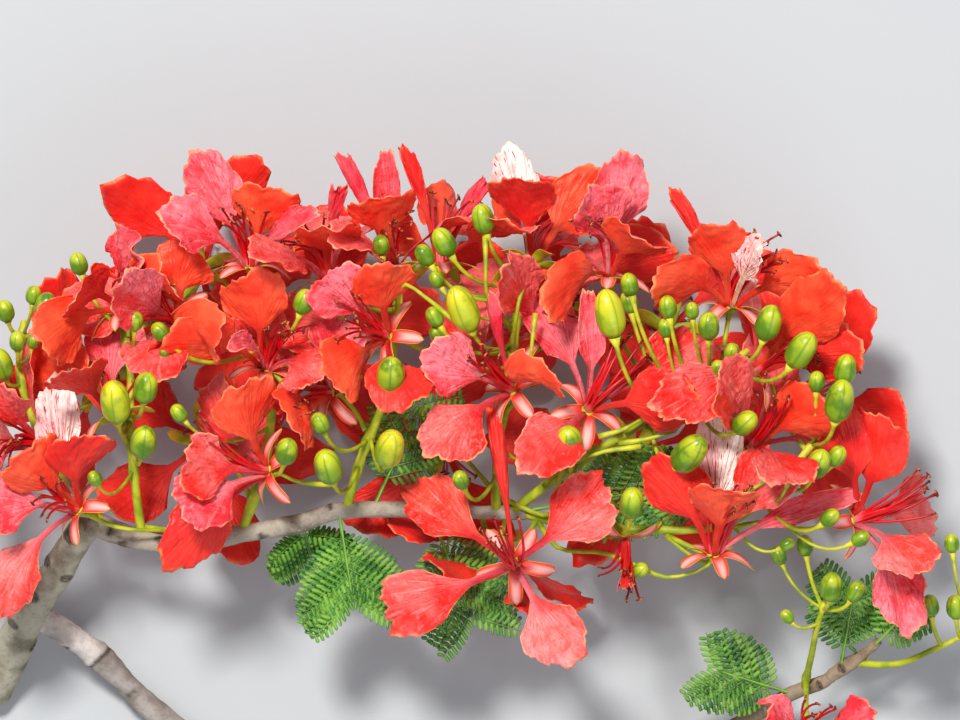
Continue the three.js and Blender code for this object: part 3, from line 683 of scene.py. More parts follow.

# %% [markdown]
# ## Where everything grows
# The tables from which the imported model was laid out: the flower stalks with their buds, and the blooms
# with the middle of each petal that shows. A bud is across, down, height and length. Buds under 11 mm are
# added here. A petal's kind says which face shows, how wide it is beside a plain one, how far it cups
# across, in radians, how much it frills, in mm, how far it is a fan rather than round, and which finishes
# its face and its back have.

# %% Flower stalks
racemes = {
    "raceme_right_upper": {
        "radii": [2.6, 2.4, 2.1, 1.8, 1.5],
        "path": [[512, 513, 88], [571, 467, 100], [640, 425, 110], [690, 392, 112], [748, 350, 110]],
        "buds": [[608, 314, 150, 26], [628, 285, 138, 12], [666, 307, 138, 12], [706, 326, 146, 15],
                 [765, 323, 148, 20], [797, 350, 152, 22], [687, 452, 148, 28], [742, 422, 146, 16],
                 [568, 444, 148, 24]],
        "small_buds": [[729, 352, 142, 10], [664, 328, 132, 10], [690, 311, 136, 9], [715, 368, 138, 9],
                       [628, 302, 130, 12]],
    },
    "raceme_right_low": {
        "radii": [2.8, 2.6, 2.3, 2.0, 1.6, 1.4],
        "path": [[521, 513, 87], [580, 528, 92], [640, 530, 100], [724, 525, 108], [782, 478, 110],
                 [832, 420, 106]],
        "buds": [[835, 400, 148, 24], [842, 369, 138, 16], [813, 381, 142, 11], [814, 462, 148, 17],
                 [834, 455, 136, 12], [827, 516, 136, 11], [630, 501, 142, 18]],
        "small_buds": [[786, 474, 146, 10], [858, 537, 130, 10], [640, 569, 120, 10], [787, 544, 112, 8]],
    },
    "raceme_centre": {
        "radii": [2.6, 2.4, 2.2, 2.0, 1.6],
        "path": [[496, 513, 88], [498, 450, 100], [508, 380, 108], [517, 320, 108], [524, 262, 102]],
        "buds": [[463, 309, 150, 27], [483, 220, 138, 16], [444, 243, 138, 16], [425, 256, 136, 12],
                 [435, 317, 144, 11], [461, 478, 148, 11]],
        "small_buds": [[437, 280, 140, 9], [437, 334, 138, 9], [543, 443, 136, 10]],
    },
    "raceme_left_centre": {
        "radii": [2.6, 2.4, 2.1, 1.8, 1.5],
        "path": [[345, 512, 88], [362, 455, 98], [384, 400, 106], [394, 345, 106], [400, 280, 100]],
        "buds": [[391, 447, 150, 25], [392, 376, 152, 24], [382, 246, 136, 11], [330, 465, 150, 22],
                 [322, 422, 148, 12]],
        "small_buds": [],
    },
    "raceme_left": {
        "radii": [2.6, 2.4, 2.1, 1.8, 1.5],
        "path": [[240, 535, 87], [262, 470, 98], [272, 400, 104], [262, 335, 106], [252, 285, 100]],
        "buds": [[289, 450, 148, 16], [306, 302, 144, 14], [164, 332, 146, 11]],
        "small_buds": [[182, 412, 144, 10]],
    },
    "raceme_far_left": {
        "radii": [2.5, 2.3, 2.0, 1.7, 1.4],
        "path": [[140, 541, 85], [134, 485, 96], [130, 430, 104], [130, 370, 104], [118, 310, 100]],
        "buds": [[120, 401, 150, 26], [150, 387, 148, 18], [147, 441, 140, 20], [139, 321, 146, 11],
                 [80, 264, 118, 12]],
        "small_buds": [[99, 477, 142, 9], [168, 353, 136, 7]],
    },
    "raceme_left_edge": {
        "radii": [2.3, 2.1, 1.9, 1.7, 1.4],
        "path": [[106, 531, 83], [66, 482, 92], [34, 425, 98], [18, 370, 98], [22, 320, 94]],
        "buds": [[47, 307, 118, 16], [6, 311, 112, 12], [20, 341, 124, 11], [2, 364, 116, 18]],
        "small_buds": [[34, 295, 112, 10], [35, 341, 118, 8]],
    },
    "raceme_lower_near": {
        "radii": [1.9, 1.7, 1.5, 1.2],
        "path": [[810, 697, 40], [816, 660, 62], [820, 630, 78], [827, 604, 88]],
        "buds": [[832, 587, 100, 16], [857, 592, 98, 12], [806, 546, 96, 11]],
        "small_buds": [[780, 556, 94, 10], [789, 618, 88, 8]],
    },
    "raceme_lower_end": {
        "radii": [1.9, 1.7, 1.5, 1.2],
        "path": [[858, 668, 53], [902, 668, 64], [940, 652, 72], [985, 630, 78]],
        "buds": [[933, 607, 88, 12], [958, 608, 90, 13], [1004, 600, 88, 12], [1012, 640, 84, 11]],
        "small_buds": [[954, 544, 92, 10]],
    },
}
print(len(racemes), "flower stalks")


# %% Petal kinds
def petal_kind(shows, width, cup, frill, fan, face, back):
    return {"shows": shows, "width": width, "cup": cup, "frill": frill, "fan": fan,
            "face": face, "back": back}


inner = petal_kind(1, 1, 0.45, 1.2, 0.85, "coral face", "scarlet back")
outer = petal_kind(-1, 1, 0.6, 1.0, 0.35, "coral face", "flame back")
narrow = petal_kind(1, 0.5, 1.3, 0.7, 0.5, "pink face", "rose back")
standard = petal_kind(1, 0.72, 0.6, 1.4, 0.4, "white face", "rose back")
frilled = petal_kind(1, 0.85, 0.35, 2.3, 0.7, "pink face", "rose back")
rolled = petal_kind(-1, 0.5, 2.3, 1.3, 0.85, "pink face", "rose back")
unseen = petal_kind(0, 0.95, 0.5, 1.1, 0.5, "coral face", "scarlet back")
pale = {**inner, "face": "pale face"}
red = {**inner, "face": "red face"}
pink = {**inner, "face": "pink face"}
striped = {**standard, "face": "pink face"}
scarlet = {**outer, "back": "scarlet back"}
red_roll = {**rolled, "back": "scarlet back"}
print("widest cup", max(kind["cup"] for kind in (inner, outer, narrow, standard, frilled, rolled)))

# %% Blooms
blooms = [
    {"at": [514, 562, 122], "look": [0.05, -0.15, 1], "on": "raceme_right_low", "stamens": [500, 530],
     "petals": [[447, 512, red], [430, 596, inner], [549, 624, pale], [574, 514, inner],
                [499, 455, red_roll]]},
    {"at": [587, 410, 122], "look": [0.3, 0.5, 0.8], "on": "raceme_right_upper", "stamens": [636, 338],
     "petals": [[553, 326, striped], [590, 335, narrow], [664, 363, inner], [655, 402, scarlet]]},
    {"at": [513, 390, 118], "look": [-0.55, 0.4, 0.75], "on": "raceme_centre", "stamens": [486, 360],
     "petals": [[456, 366, pink], [498, 316, rolled], [459, 426, inner], [533, 380, outer]]},
    {"at": [713, 555, 116], "look": [0.05, 0.8, 0.35], "on": "raceme_right_low", "stamens": [728, 490],
     "petals": [[720, 505, outer], [718, 458, standard], [676, 490, scarlet], [755, 487, inner],
                [800, 510, narrow]]},
    {"at": [388, 337, 120], "look": [-0.5, 0.35, 0.75], "on": "raceme_left_centre", "stamens": [352, 316],
     "petals": [[387, 288, outer], [352, 366, outer], [345, 296, pink], [400, 378, scarlet]]},
    {"at": [532, 265, 112], "look": [0.1, 0.85, -0.45], "on": "raceme_centre", "stamens": [560, 225],
     "petals": [[521, 207, outer], [516, 187, standard], [577, 203, outer], [566, 228, narrow]]},
    {"at": [730, 308, 108], "look": [0.15, 0.9, 0.2], "on": "raceme_right_upper", "stamens": [774, 250],
     "petals": [[690, 222, red_roll], [719, 251, outer], [750, 262, standard], [680, 285, outer],
                [790, 282, outer]]},
    {"at": [269, 470, 118], "look": [-0.8, 0.1, 0.5], "on": "raceme_left", "stamens": [196, 434],
     "petals": [[252, 411, outer], [210, 466, inner], [212, 496, pink], [202, 526, scarlet]]},
    {"at": [80, 510, 112], "look": [-0.6, 0.4, 0.4], "on": "raceme_left_edge", "stamens": [46, 490],
     "petals": [[44, 468, outer], [85, 458, scarlet], [60, 424, standard], [12, 500, pink],
                [18, 570, {**frilled, "face": "pale face"}]]},
    {"at": [267, 370, 116], "look": [0.1, 0.75, 0.3], "on": "raceme_left", "stamens": [285, 330],
     "petals": [[257, 303, outer], [250, 345, narrow], [306, 367, inner], [208, 340, outer]]},
    {"at": [115, 419, 114], "look": [-0.35, 0.8, -0.2], "on": "raceme_far_left", "stamens": [95, 370],
     "petals": [[60, 371, outer], [112, 346, frilled], [150, 362, inner]]},
    {"at": [854, 520, 104], "look": [0.8, 0.15, 0.45], "on": "raceme_right_low", "stamens": [936, 490],
     "petals": [[871, 450, scarlet], [898, 552, pale], [896, 586, frilled], [840, 446, scarlet]]},
    {"at": [250, 268, 108], "look": [0, 0.85, 0.25], "on": "raceme_left", "stamens": [242, 215],
     "petals": [[216, 192, frilled], [266, 212, outer], [198, 228, pink], [290, 225, narrow]]},
    {"at": [440, 266, 100], "look": [0.05, 0.95, -0.1], "on": "raceme_centre", "stamens": [455, 205],
     "petals": [[416, 178, red_roll], [448, 213, outer], [475, 198, rolled], [405, 235, outer]]},
    {"at": [610, 278, 104], "look": [0.1, 0.85, 0.15], "on": "raceme_right_upper", "stamens": [594, 225],
     "petals": [[631, 243, outer], [620, 196, frilled], [573, 288, outer], [600, 215, pink]]},
    {"at": [125, 312, 104], "look": [-0.3, 0.8, 0.1], "on": "raceme_far_left", "stamens": [150, 290],
     "petals": [[130, 258, frilled], [90, 293, scarlet], [70, 328, outer], [158, 285, outer]]},
    {"at": [755, 372, 112], "look": [0.6, 0.55, 0.3], "on": "raceme_right_upper", "stamens": [800, 352],
     "petals": [[805, 315, outer], [824, 352, scarlet], [700, 388, inner]]},
    {"at": [750, 447, 104], "look": [0.4, 0.55, 0.5], "on": "raceme_right_low", "stamens": [780, 392],
     "petals": [[798, 415, outer], [732, 398, inner], [775, 462, inner]]},
    {"at": [395, 268, 104], "look": [-0.2, 0.95, 0], "on": "raceme_left_centre", "stamens": [405, 232],
     "petals": [[385, 217, outer], [355, 182, rolled], [388, 190, narrow], [360, 243, inner]]},
    {"at": [180, 324, 106], "look": [-0.4, 0.3, 0.8], "on": "raceme_far_left", "stamens": [160, 296],
     "petals": [[203, 332, outer], [160, 356, inner], [146, 300, pink], [186, 270, outer]]},
    {"at": [328, 280, 98], "look": [-0.2, 0.9, 0.15], "on": "raceme_left_centre", "stamens": [308, 236],
     "petals": [[330, 237, outer], [336, 205, rolled], [287, 256, inner]]},
    {"at": [545, 338, 100], "look": [-0.2, 0.7, 0.5], "on": "raceme_centre", "stamens": [560, 300],
     "petals": [[518, 290, inner], [548, 290, outer]]},
    {"at": [330, 392, 104], "look": [-0.6, -0.1, 0.7], "on": "raceme_left_centre", "stamens": [300, 410],
     "petals": [[304, 414, outer], [292, 384, inner], [338, 348, pink]]},
    {"at": [46, 446, 98], "look": [-0.8, 0.3, 0.3], "on": "raceme_left_edge", "stamens": [10, 446],
     "petals": [[10, 406, inner], [-12, 452, frilled]]},
    {"at": [625, 534, 112], "look": [0.05, -1, 0.1], "on": "raceme_right_low", "stamens": [618, 580],
     "single": True, "petals": [[624, 580, red_roll]]},
    {"at": [806, 752, 92], "look": [-0.1, 0.7, 0.5], "on": "raceme_lower_near", "stamens": [824, 712],
     "petals": [[783, 722, frilled], [848, 726, frilled], [762, 767, outer], [852, 777, inner],
                [806, 790, outer]]},
    {"at": [500, 540, 74], "look": [-0.4, -0.8, -0.2], "on": "raceme_centre",
     "petals": [[462, 574, scarlet]]},
    {"at": [100, 380, 66], "look": [-0.6, 0.2, -0.7], "on": "raceme_left_edge", "petals": []},
    {"at": [196, 268, 48.3], "look": [-0.1, 0.5, -0.85], "on": "raceme_far_left", "petals": []},
    {"at": [318, 330, 58], "look": [0.1, 0.2, -0.95], "on": "raceme_left", "petals": []},
    {"at": [560, 300, 60], "look": [0.1, 0.4, -0.9], "on": "raceme_centre", "petals": []},
    {"at": [672, 330, 30], "look": [0.1, 0.3, -0.9], "on": "raceme_right_upper", "petals": []},
    {"at": [800, 400, 57.5], "look": [0.6, 0.2, -0.75], "on": "raceme_right_low", "petals": []},
    {"at": [204, 440, 58], "look": [-0.2, -0.4, -0.9], "on": "raceme_left", "petals": []},
    {"at": [440, 440, 60], "look": [0.1, -0.4, -0.9], "on": "raceme_centre", "petals": []},
    {"at": [640, 450, 60], "look": [0.2, -0.3, -0.9], "on": "raceme_right_upper", "petals": []},
]
print(len(blooms), "blooms")

# %% [markdown]
# ## The rule that lays the petals
# A petal is a claw and a round blade on one arc. From the spot where the middle of its blade is seen, the
# rule works out how deep it lies, then lifts or lowers it along the view until it is clear of the petals
# laid before. It is the rule by which the imported model's petals were laid, so that each petal lies
# where its solid is.

# %% Laying petals
PETAL_LENGTH = 62
PETAL_HALF_WIDTH = 18.5
CLAW_HALF_WIDTH = 1.7
CLAW_SHARE = 0.42
BLADE_SHARE = 0.7
CLAW_RING = 2.3
LOOK_PULL = 0.6
BEND_SHARE = 0.42
FAR_APART = 4.0
PEDICEL_RADIUS = 1.25
STAMEN_LENGTH = 47
LIFT_STEP = 8
LIFT_COST = 1.5
PETAL_SPACE = 8
FLOOR_SPACE = 2
FLOOR_COST = 20
SPREAD = 1.2
GAP = 0.34
SEEN_REACH = BLADE_SHARE * PETAL_LENGTH
FLAT = np.array([1, 1, 0])
feeler_shares = np.repeat([0.5, 0.7, 0.9], 3)
feeler_sides = np.tile([-0.8, 0.0, 0.8], 3)


def round_axis(look):
    """A function from an angle to the direction there, square to the way a bloom looks."""
    side = unit(np.cross(look, [1.0, 0, 0] if abs(look[1]) > 0.9 else [0, 1.0, 0]))
    up = np.cross(look, side)
    return lambda angle: side * math.cos(angle) + up * math.sin(angle)


def petal_frame(petal, shares):
    """Middle, sideways and facing directions of a petal at shares of its length."""
    base, bend, tip = petal["base"], petal["bend"], petal["tip"]
    t = shares[:, None]
    tangent = unit((bend - base) * (1 - t) + (tip - bend) * t)
    normal = square_to(petal["faces"], tangent)
    return arc(base, bend, tip)(shares), np.cross(tangent, normal), normal


def feel(petal):
    """Points spread over a petal, which tell how near it comes to others."""
    middle, sideways, normal = petal_frame(petal, feeler_shares)
    claw = CLAW_HALF_WIDTH * (0.8 + feeler_shares)
    q = (feeler_shares - CLAW_SHARE) / (1 - CLAW_SHARE)
    blade = PETAL_HALF_WIDTH * np.sin(math.pi * q**1.1) ** 0.62
    half = np.where(feeler_shares < 0.6, np.maximum(claw, blade), blade) * petal["kind"]["width"]
    cup = petal["kind"]["cup"]
    turn = cup * feeler_sides
    return (middle + sideways * (half * np.sin(turn) / cup)[:, None]
            + normal * (half * (1 - np.cos(turn)) / cup)[:, None])


def petal_to(base, look, centre, kind, lift):
    goal = centre + EYE * lift
    bend = unit(unit(goal) + look * LOOK_PULL) * BEND_SHARE * PETAL_LENGTH
    tip = (goal - bend * 2 * BLADE_SHARE * (1 - BLADE_SHARE)) / BLADE_SHARE**2
    faces = look * (0.5 if kind["shows"] else 1.0) + EYE * kind["shows"]
    root = base + square_to(centre, look) * CLAW_RING
    return {"base": root, "bend": base + bend, "tip": base + tip, "faces": faces, "kind": kind}


def petal_centres(bloom, base, look, number):
    """The petals that are seen, then those in the places round the bloom that are furthest from them."""
    centres = []
    for across, down, kind in bloom["petals"]:
        flat = (place(across, down, 0) - base) * FLAT
        depth = math.sqrt(max(0, SEEN_REACH**2 - flat @ flat)) * (-1 if look[2] < 0 else 1)
        centres.append((flat + EYE * depth * 0.8, kind))
    around = round_axis(look)
    turns = [number + k * 2 * math.pi / 5 for k in range(5)]
    ring = [look * math.cos(SPREAD) + around(turn) * math.sin(SPREAD) for turn in turns]
    while len(centres) < 5 and not bloom.get("single"):
        taken = [unit(centre) for centre, _ in centres]
        room = [min([FAR_APART, *[math.acos(np.clip(c @ way, -1, 1)) for c in taken]]) for way in ring]
        centres.append((ring[int(np.argmax(room))] * SEEN_REACH, unseen))
    return centres


print("a seen petal's middle is", round(SEEN_REACH, 1), "mm from its root")

# %% Every petal in its turn
laid = np.zeros((0, 3))
for number, bloom in enumerate(blooms, start=1):
    base, look = place(*bloom["at"]), unit(np.array(bloom["look"], float))
    petals, own = [], []
    for centre, kind in petal_centres(bloom, base, look, number):
        best = None
        for lift in (0, 1, -1, 2, -2, 3, -3):
            petal = petal_to(base, look, centre, kind, lift * LIFT_STEP)
            points = feel(petal)
            apart = np.linalg.norm(points[:, None] - laid[None], axis=2)
            crowding = abs(lift) * LIFT_COST + np.maximum(0, PETAL_SPACE - apart).sum()
            crowding += max(0, FLOOR_COST * (FLOOR_SPACE - points[:, 2].min()))
            if best is None or crowding < best[0] - 1e-6:
                best = (crowding, petal, points)
        petals.append(best[1])
        own.append(best[2])
    laid = np.vstack([laid, *own])
    bloom.update(base=base, look=look, laid=petals, number=number, name=f"bloom_{number:02d}")
print(sum(len(bloom["laid"]) for bloom in blooms), "petals laid")

# %% [markdown]
# ## A petal
# The blank is a square grid made into a thin closed sheet. The rule turns the grid into a fan: its
# columns run side by side up the claw, then spread as rays of a round blade, so that veins can follow
# them. The sheet then takes the arc and the cup of the petal that was laid. Thin flesh never lies flat,
# so it waves towards its edge, curls at the tip and crinkles all over.

# %% The petal blank
def petal_blank(columns, rows):
    begin()
    bpy.ops.mesh.primitive_grid_add(x_subdivisions=columns, y_subdivisions=rows, size=2)
    bpy.ops.object.modifier_add(type="SOLIDIFY")
    sheet = bpy.context.object.modifiers[-1]
    sheet.thickness, sheet.offset = 0.1, 0
    bpy.ops.object.modifier_apply(modifier=sheet.name)
    blank = harvest()
    corner = blank["points"][blank["loops"]]
    blank["map"] = corner[:, :2] / 2 + 0.5
    heights = np.add.reduceat(corner[:, 2], blank["starts"])
    blank["slots"] = (heights < -0.01).astype(int)
    return blank


fine_petal = petal_blank(42, 26)
plain_petal = petal_blank(20, 14)
sepal_sheet = petal_blank(6, 9)
CLAW_ROWS = 0.16
for blank in (fine_petal, plain_petal):
    rows = blank["map"][:, 1]
    blank["map"][:, 1] = np.interp(rows, [0, CLAW_ROWS, 1], [0, CLAW_SHARE, 1])
print("petal and sepal blanks")


# %% Laying the blank as a petal
LOWEST = 0.5
PRESS_REACH = 5
ANY_ANGLE = 6.3
ROLLED_CUP = 2
ROLLED_LENGTH = 0.84
CURL_RANGE = (-3.6, 1.0)
FLESH = 0.2
ROOT_FLESH = 0.4


def above_floor(points):
    """What would sink into the floor is pressed flat just above it."""
    height = points[:, 2]
    start = LOWEST + PRESS_REACH
    pressed = LOWEST + PRESS_REACH * np.exp((np.minimum(height, start) - start) / PRESS_REACH)
    return np.column_stack([points[:, :2], np.where(height < start, pressed, height)])


def ragged_edge(v, s, phase):
    """How far the edge strays from a plain outline, as a share of the blade's length."""
    edge = s**6 * (0.05 * np.sin(5 * v + phase[0]) + 0.025 * np.sin(17 * v + phase[1]))
    return edge + s**10 * 0.016 * np.sin(43 * v + phase[6])


def crumple(v, s, frill, phase):
    """How far the flesh waves off its plain arc: broad waves, a frilled edge, crinkles and ridges."""
    waves = 2.6 + 1.5 * frill
    wave = 1.25 * frill * s**2.2 * np.sin(waves * v * 1.6 + phase[2])
    wave += 0.6 * frill * s**4 * np.sin(2.9 * waves * v + phase[3] + 2 * s)
    wave += (0.35 + 0.3 * frill) * s**7 * np.sin(26 * v + phase[1] + 3 * np.sin(3 * v + phase[5]))
    wave += 0.62 * s * np.sin(10 * v + 5 * s + phase[4]) * np.sin(14 * s + 4 * v + phase[5])
    wave += 0.3 * s * np.sin(21 * v - 9 * s + phase[7]) * np.sin(25 * s + 7 * v + phase[6])
    slant = 9 * v * math.cos(phase[0]) + 13 * s * math.sin(phase[0])
    ridges = np.abs(np.sin(slant + 1.4 * np.sin(7 * s + 4 * v + phase[7])))
    return wave + 0.5 * frill * s**1.5 * (1 - 2 * ridges)


def laid_petal(blank, petal, rng):
    """The blank's corners as one petal, in mm. v runs across it, t from root to tip and s up its blade."""
    kind = petal["kind"]
    v, y, z = blank["points"].T
    t = np.interp((y + 1) / 2, [0, CLAW_ROWS, 1], [0, CLAW_SHARE, 1])
    side = np.sign(z)
    length = (1 - CLAW_SHARE) * PETAL_LENGTH * (ROLLED_LENGTH if kind["cup"] > ROLLED_CUP else 1)
    s = np.clip((t - CLAW_SHARE) / (1 - CLAW_SHARE), 0, 1)
    fan = kind["fan"] + rng.uniform(-0.15, 0.15)
    widest = 1.22 - 0.48 * fan
    theta = v * widest * (1 - 0.3 * fan * (1 - s))
    phase = rng.uniform(0, ANY_ANGLE, 8)
    trim = 1 + ragged_edge(v, s, phase) - 0.04 * fan - 0.33 * fan * np.abs(v) ** 5
    reach = s * length * np.cos(theta) ** (1.1 - 0.75 * fan) * trim
    claw = CLAW_HALF_WIDTH * (0.8 + np.minimum(t, CLAW_SHARE)) * max(kind["width"], 0.8)
    along = np.where(s > 0, CLAW_SHARE * PETAL_LENGTH + reach * np.cos(theta), t * PETAL_LENGTH)
    aside = reach * np.sin(theta) * 1.03 * kind["width"] + claw * v * (1 - s) ** 2
    share = along / PETAL_LENGTH
    middle, sideways, normal = petal_frame(petal, share)
    q = np.clip((share - CLAW_SHARE) / (1 - CLAW_SHARE), 0, 1)
    round_half = np.sqrt(length**2 * q * (1 - q) + 5.4**2)
    fan_half = np.minimum(5 + q * length * math.tan(widest) * 0.9, 20)
    half = (round_half * (1 - fan) + fan_half * fan) * kind["width"]
    turn = kind["cup"] * aside / half
    curl = rng.uniform(*CURL_RANGE) * s**2 + 1.2 * s * (1 - s) * np.abs(v)
    thick = FLESH * (1 - 0.6 * v**2) + ROOT_FLESH * (1 - s) ** 3 * (1 - v**2)
    flat_aside = half * np.sin(turn) / kind["cup"] - thick * side * np.sin(turn)
    lift = half * (1 - np.cos(turn)) / kind["cup"] + crumple(v, s, kind["frill"], phase) + curl
    lift += thick * side * np.cos(turn)
    return above_floor(middle + sideways * flat_aside[:, None] + normal * lift[:, None])


print("the petal blanks are laid next")

# %% Petals
HIDDEN_FROM = 28
for bloom in blooms:
    rng = np.random.default_rng(100 + bloom["number"])
    blank = plain_petal if bloom["number"] >= HIDDEN_FROM else fine_petal
    copies = []
    for petal in bloom["laid"]:
        names = (petal["kind"]["face"], petal["kind"]["back"])
        copies.append((laid_petal(blank, petal, rng), blank, names, None))
    make_piece(bloom["name"] + "_petals", copies, [bloom["name"]])
print("petals:", sum(triangle_counts), "triangles")

# %% [markdown]
# ## Calyx, sepals and stamens
# A pedicel leaves the flower stalk at a slant and swells into the calyx behind the bloom. From there five
# pointed sepals spread and bend back, red inside and green outside. Ten filaments rise from the middle
# towards where the bundle is seen to end, each with its anther, and spread as they go.

# %% Pedicels
def beside_axis(axis, radii, goal):
    """The place beside a flower stalk from which a pedicel leaves it."""
    t = max(0.06, nearest(axis, goal) - 0.1)
    radius = radii[0] + (radii[-1] - radii[0]) * t
    spot = axis(t)
    tangent = unit(axis(t + 0.02) - axis(t - 0.02))
    return spot + square_to(goal - spot, tangent) * (radius + GAP + 0.5 * PEDICEL_RADIUS)


def pedicel_line(bloom):
    raceme = racemes[bloom["on"]]
    base, look = bloom["base"], bloom["look"]
    root = beside_axis(through(raceme["path"]), raceme["radii"], base)
    reach = np.linalg.norm(root - base)
    return arc(root, base - look * 0.45 * reach, base + look)


def pedicel_radius(share, angle):
    cup = np.clip((share - 0.74) / 0.26, 0, 1)
    swell = 3.1 * cup**1.6 * (1 - 0.22 * cup**6)
    foot = 0.5 * np.clip(1 - share / 0.08, 0, 1)
    return PEDICEL_RADIUS + foot + swell + 0.16 * cup * np.cos(5 * angle)


copies = [tube(pedicel_blank, pedicel_line(bloom), pedicel_radius, "stalk") for bloom in blooms]
bloom_names = [bloom["name"] for bloom in blooms]
make_piece("bloom_pedicels", copies, bloom_names)


# %% Sepals
SEPAL_HALF_WIDTH = 4.7


def laid_sepal(bloom, way, rng):
    base, look = bloom["base"], bloom["look"]
    v, y, z = sepal_sheet["points"].T
    t = (y + 1) / 2
    spread, droop = rng.uniform(0.9, 1.05), rng.uniform(-3, 3)
    bend = base + way * 13 * spread + look * 3.5
    tip = base + way * 22 * spread - look * (5 + droop)
    line = arc(base + way * 2.4, bend, tip)
    tangent = way_along(line, t)
    normal = square_to(look, tangent)
    sideways = np.cross(tangent, normal)
    half = SEPAL_HALF_WIDTH * np.sqrt(np.maximum(0, 1 - t**3.2)) * (0.62 + 0.5 * t)
    cupped = 0.9 * v**2 * (1 - t) + 0.5 * np.sin(4 * t + bloom["number"]) * v
    thick = np.sign(z) * (0.1 + 0.4 * (1 - v**2) * (1 - t) * (z < 0))
    return above_floor(line(t) + sideways * (half * v)[:, None] + normal * (cupped + thick)[:, None])


copies = []
for bloom in blooms:
    rng = np.random.default_rng(200 + bloom["number"])
    around = round_axis(bloom["look"])
    for k in range(5):
        way = around(-k * 2 * math.pi / 5 + bloom["number"] + math.pi / 5)
        copies.append((laid_sepal(bloom, way, rng), sepal_sheet, ("sepal face", "sepal back"), None))
make_piece("bloom_sepals", copies, bloom_names)


# %% Stamens
def ball_blank(segments, rings):
    """A ball of radius 1 with its poles on Z."""
    begin()
    bpy.ops.mesh.primitive_uv_sphere_add(segments=segments, ring_count=rings, radius=1)
    bpy.ops.object.mode_set(mode="EDIT")
    bpy.ops.mesh.select_all(action="SELECT")
    bpy.ops.mesh.normals_make_consistent(inside=False)
    return harvest()


def carried(blank, middle, along, size):
    """A blank carried to a place, with its Z along a direction. size is its three half sizes in mm."""
    first, second = pair_across(along)
    x, y, z = (blank["points"] * size).T
    return middle + first * x[:, None] + second * y[:, None] + along * z[:, None]


FILAMENT_COUNT = 10
filament_radius = taper(1.0, 0.4)
anther_blank = ball_blank(8, 6)
filaments, anthers = [], []
for bloom in blooms:
    rng = np.random.default_rng(300 + bloom["number"])
    base, look = bloom["base"], bloom["look"]
    if "stamens" in bloom:
        goal = (place(*bloom["stamens"], 0) - base) * FLAT
        depth = math.sqrt(max(0, STAMEN_LENGTH**2 - goal @ goal))
        goal = goal + EYE * 0.7 * depth * (-1 if look[2] < 0 else 1)
    else:
        goal = look * 0.9 * STAMEN_LENGTH
    around, sideways = round_axis(look), round_axis(unit(goal))
    for k in range(FILAMENT_COUNT):
        angle = bloom["number"] + k * math.pi / 5
        drift = sideways(rng.uniform(0, ANY_ANGLE)) * rng.uniform(2, 15) + EYE * 3
        start = base + around(angle) * 1.5
        bend = base + around(angle) * 3 + look * STAMEN_LENGTH * rng.uniform(0.42, 0.56) + drift * 0.4
        end = base + goal * rng.uniform(0.84, 1.1) + drift
        line = arc(start, bend, end)
        corners = above_floor(sweep(filament_blank, line, filament_radius))
        filaments.append((corners, filament_blank, ("filament",) * 3, None))
        way = unit(np.cross(end - bend, rng.normal(size=3)) + (end - bend) * 0.02)
        corners = above_floor(carried(anther_blank, end, way, [0.9, 0.7, 2.1]))
        anthers.append((corners, anther_blank, ("anther",), None))
make_piece("bloom_filaments", filaments, bloom_names)
make_piece("bloom_anthers", anthers, bloom_names)
print("so far", sum(triangle_counts), "triangles")

# %% [markdown]
# ## Buds and flower stalks
# A bud is a blunt egg whose five sepals meet edge to edge. On the blank, every sixth column of corners is
# drawn in a little, which makes five grooves from base to tip. Each bud stands on a slanting stalk that
# swells under it. Where stalks leave, the flower stalk has a small knot.

# %% Buds
begin()
bpy.ops.mesh.primitive_uv_sphere_add(segments=30, ring_count=16, radius=1)


def on_seam(corners):
    x, y, z = corners[0]
    angle = math.degrees(math.atan2(y, x)) % 72
    return abs(z) < 0.999 and min(angle, 72 - angle) < 1


pick(on_seam)
bpy.ops.transform.resize(value=(0.93, 0.93, 1), center_override=(0, 0, 0))
bud_blank = harvest()
seam_corners = round_map(bud_blank)
bud_blank["map"][:, 1] = seam_corners[:, 2] / 2 + 0.5


def laid_bud(way, middle, length, rng):
    """A blunt egg, widest below its middle, with a small tip."""
    x, y, z = bud_blank["points"].T
    half = length / 2 * np.clip(0.92 - 0.013 * length, 0.55, 0.82)
    shape = (1 - 0.08 * z) * np.sqrt((1 - np.abs(z) ** 2.7) / (1 - z**2 + 1e-9))
    first, second = pair_across(way)
    turn = rng.uniform(0, ANY_ANGLE)
    across = (x * math.cos(turn) - y * math.sin(turn)) * half * shape
    beyond = (x * math.sin(turn) + y * math.cos(turn)) * half * shape
    height = (z + 0.02 * (z > 0.98)) * length / 2
    return middle + first * across[:, None] + second * beyond[:, None] + way * height[:, None]


BUD_LEAN = np.array([0, 0.9, 0])
BUD_STALK_SLANT = 0.08


def bud_stalk_share(axis, middle):
    """The share of a flower stalk's length at which a bud's own stalk leaves it."""
    return max(0.05, nearest(axis, middle) - BUD_STALK_SLANT)


def bud_stalk(root, middle, length):
    """The way a bud points, and the line of its stalk."""
    way = unit(unit(middle - root) + BUD_LEAN)
    foot = middle - way * length / 2
    return way, arc(root, foot - way * 0.5 * np.linalg.norm(root - foot), foot)


def bud_stalk_radius(length):
    """The half width of the stalk of a bud, which swells under the bud."""
    thick = 1.1 if length > 10 else 0.85

    def radius(share, angle):
        swell = 0.09 * length * np.clip((share - 0.86) / 0.14, 0, 1) ** 2
        return thick + swell + 0.4 * np.exp(-share * 22)

    return radius


def loose_radius(share, angle):
    return 1.25 + 0.3 * np.cos(6.28 * share)


print("bud blank and stalk widths")

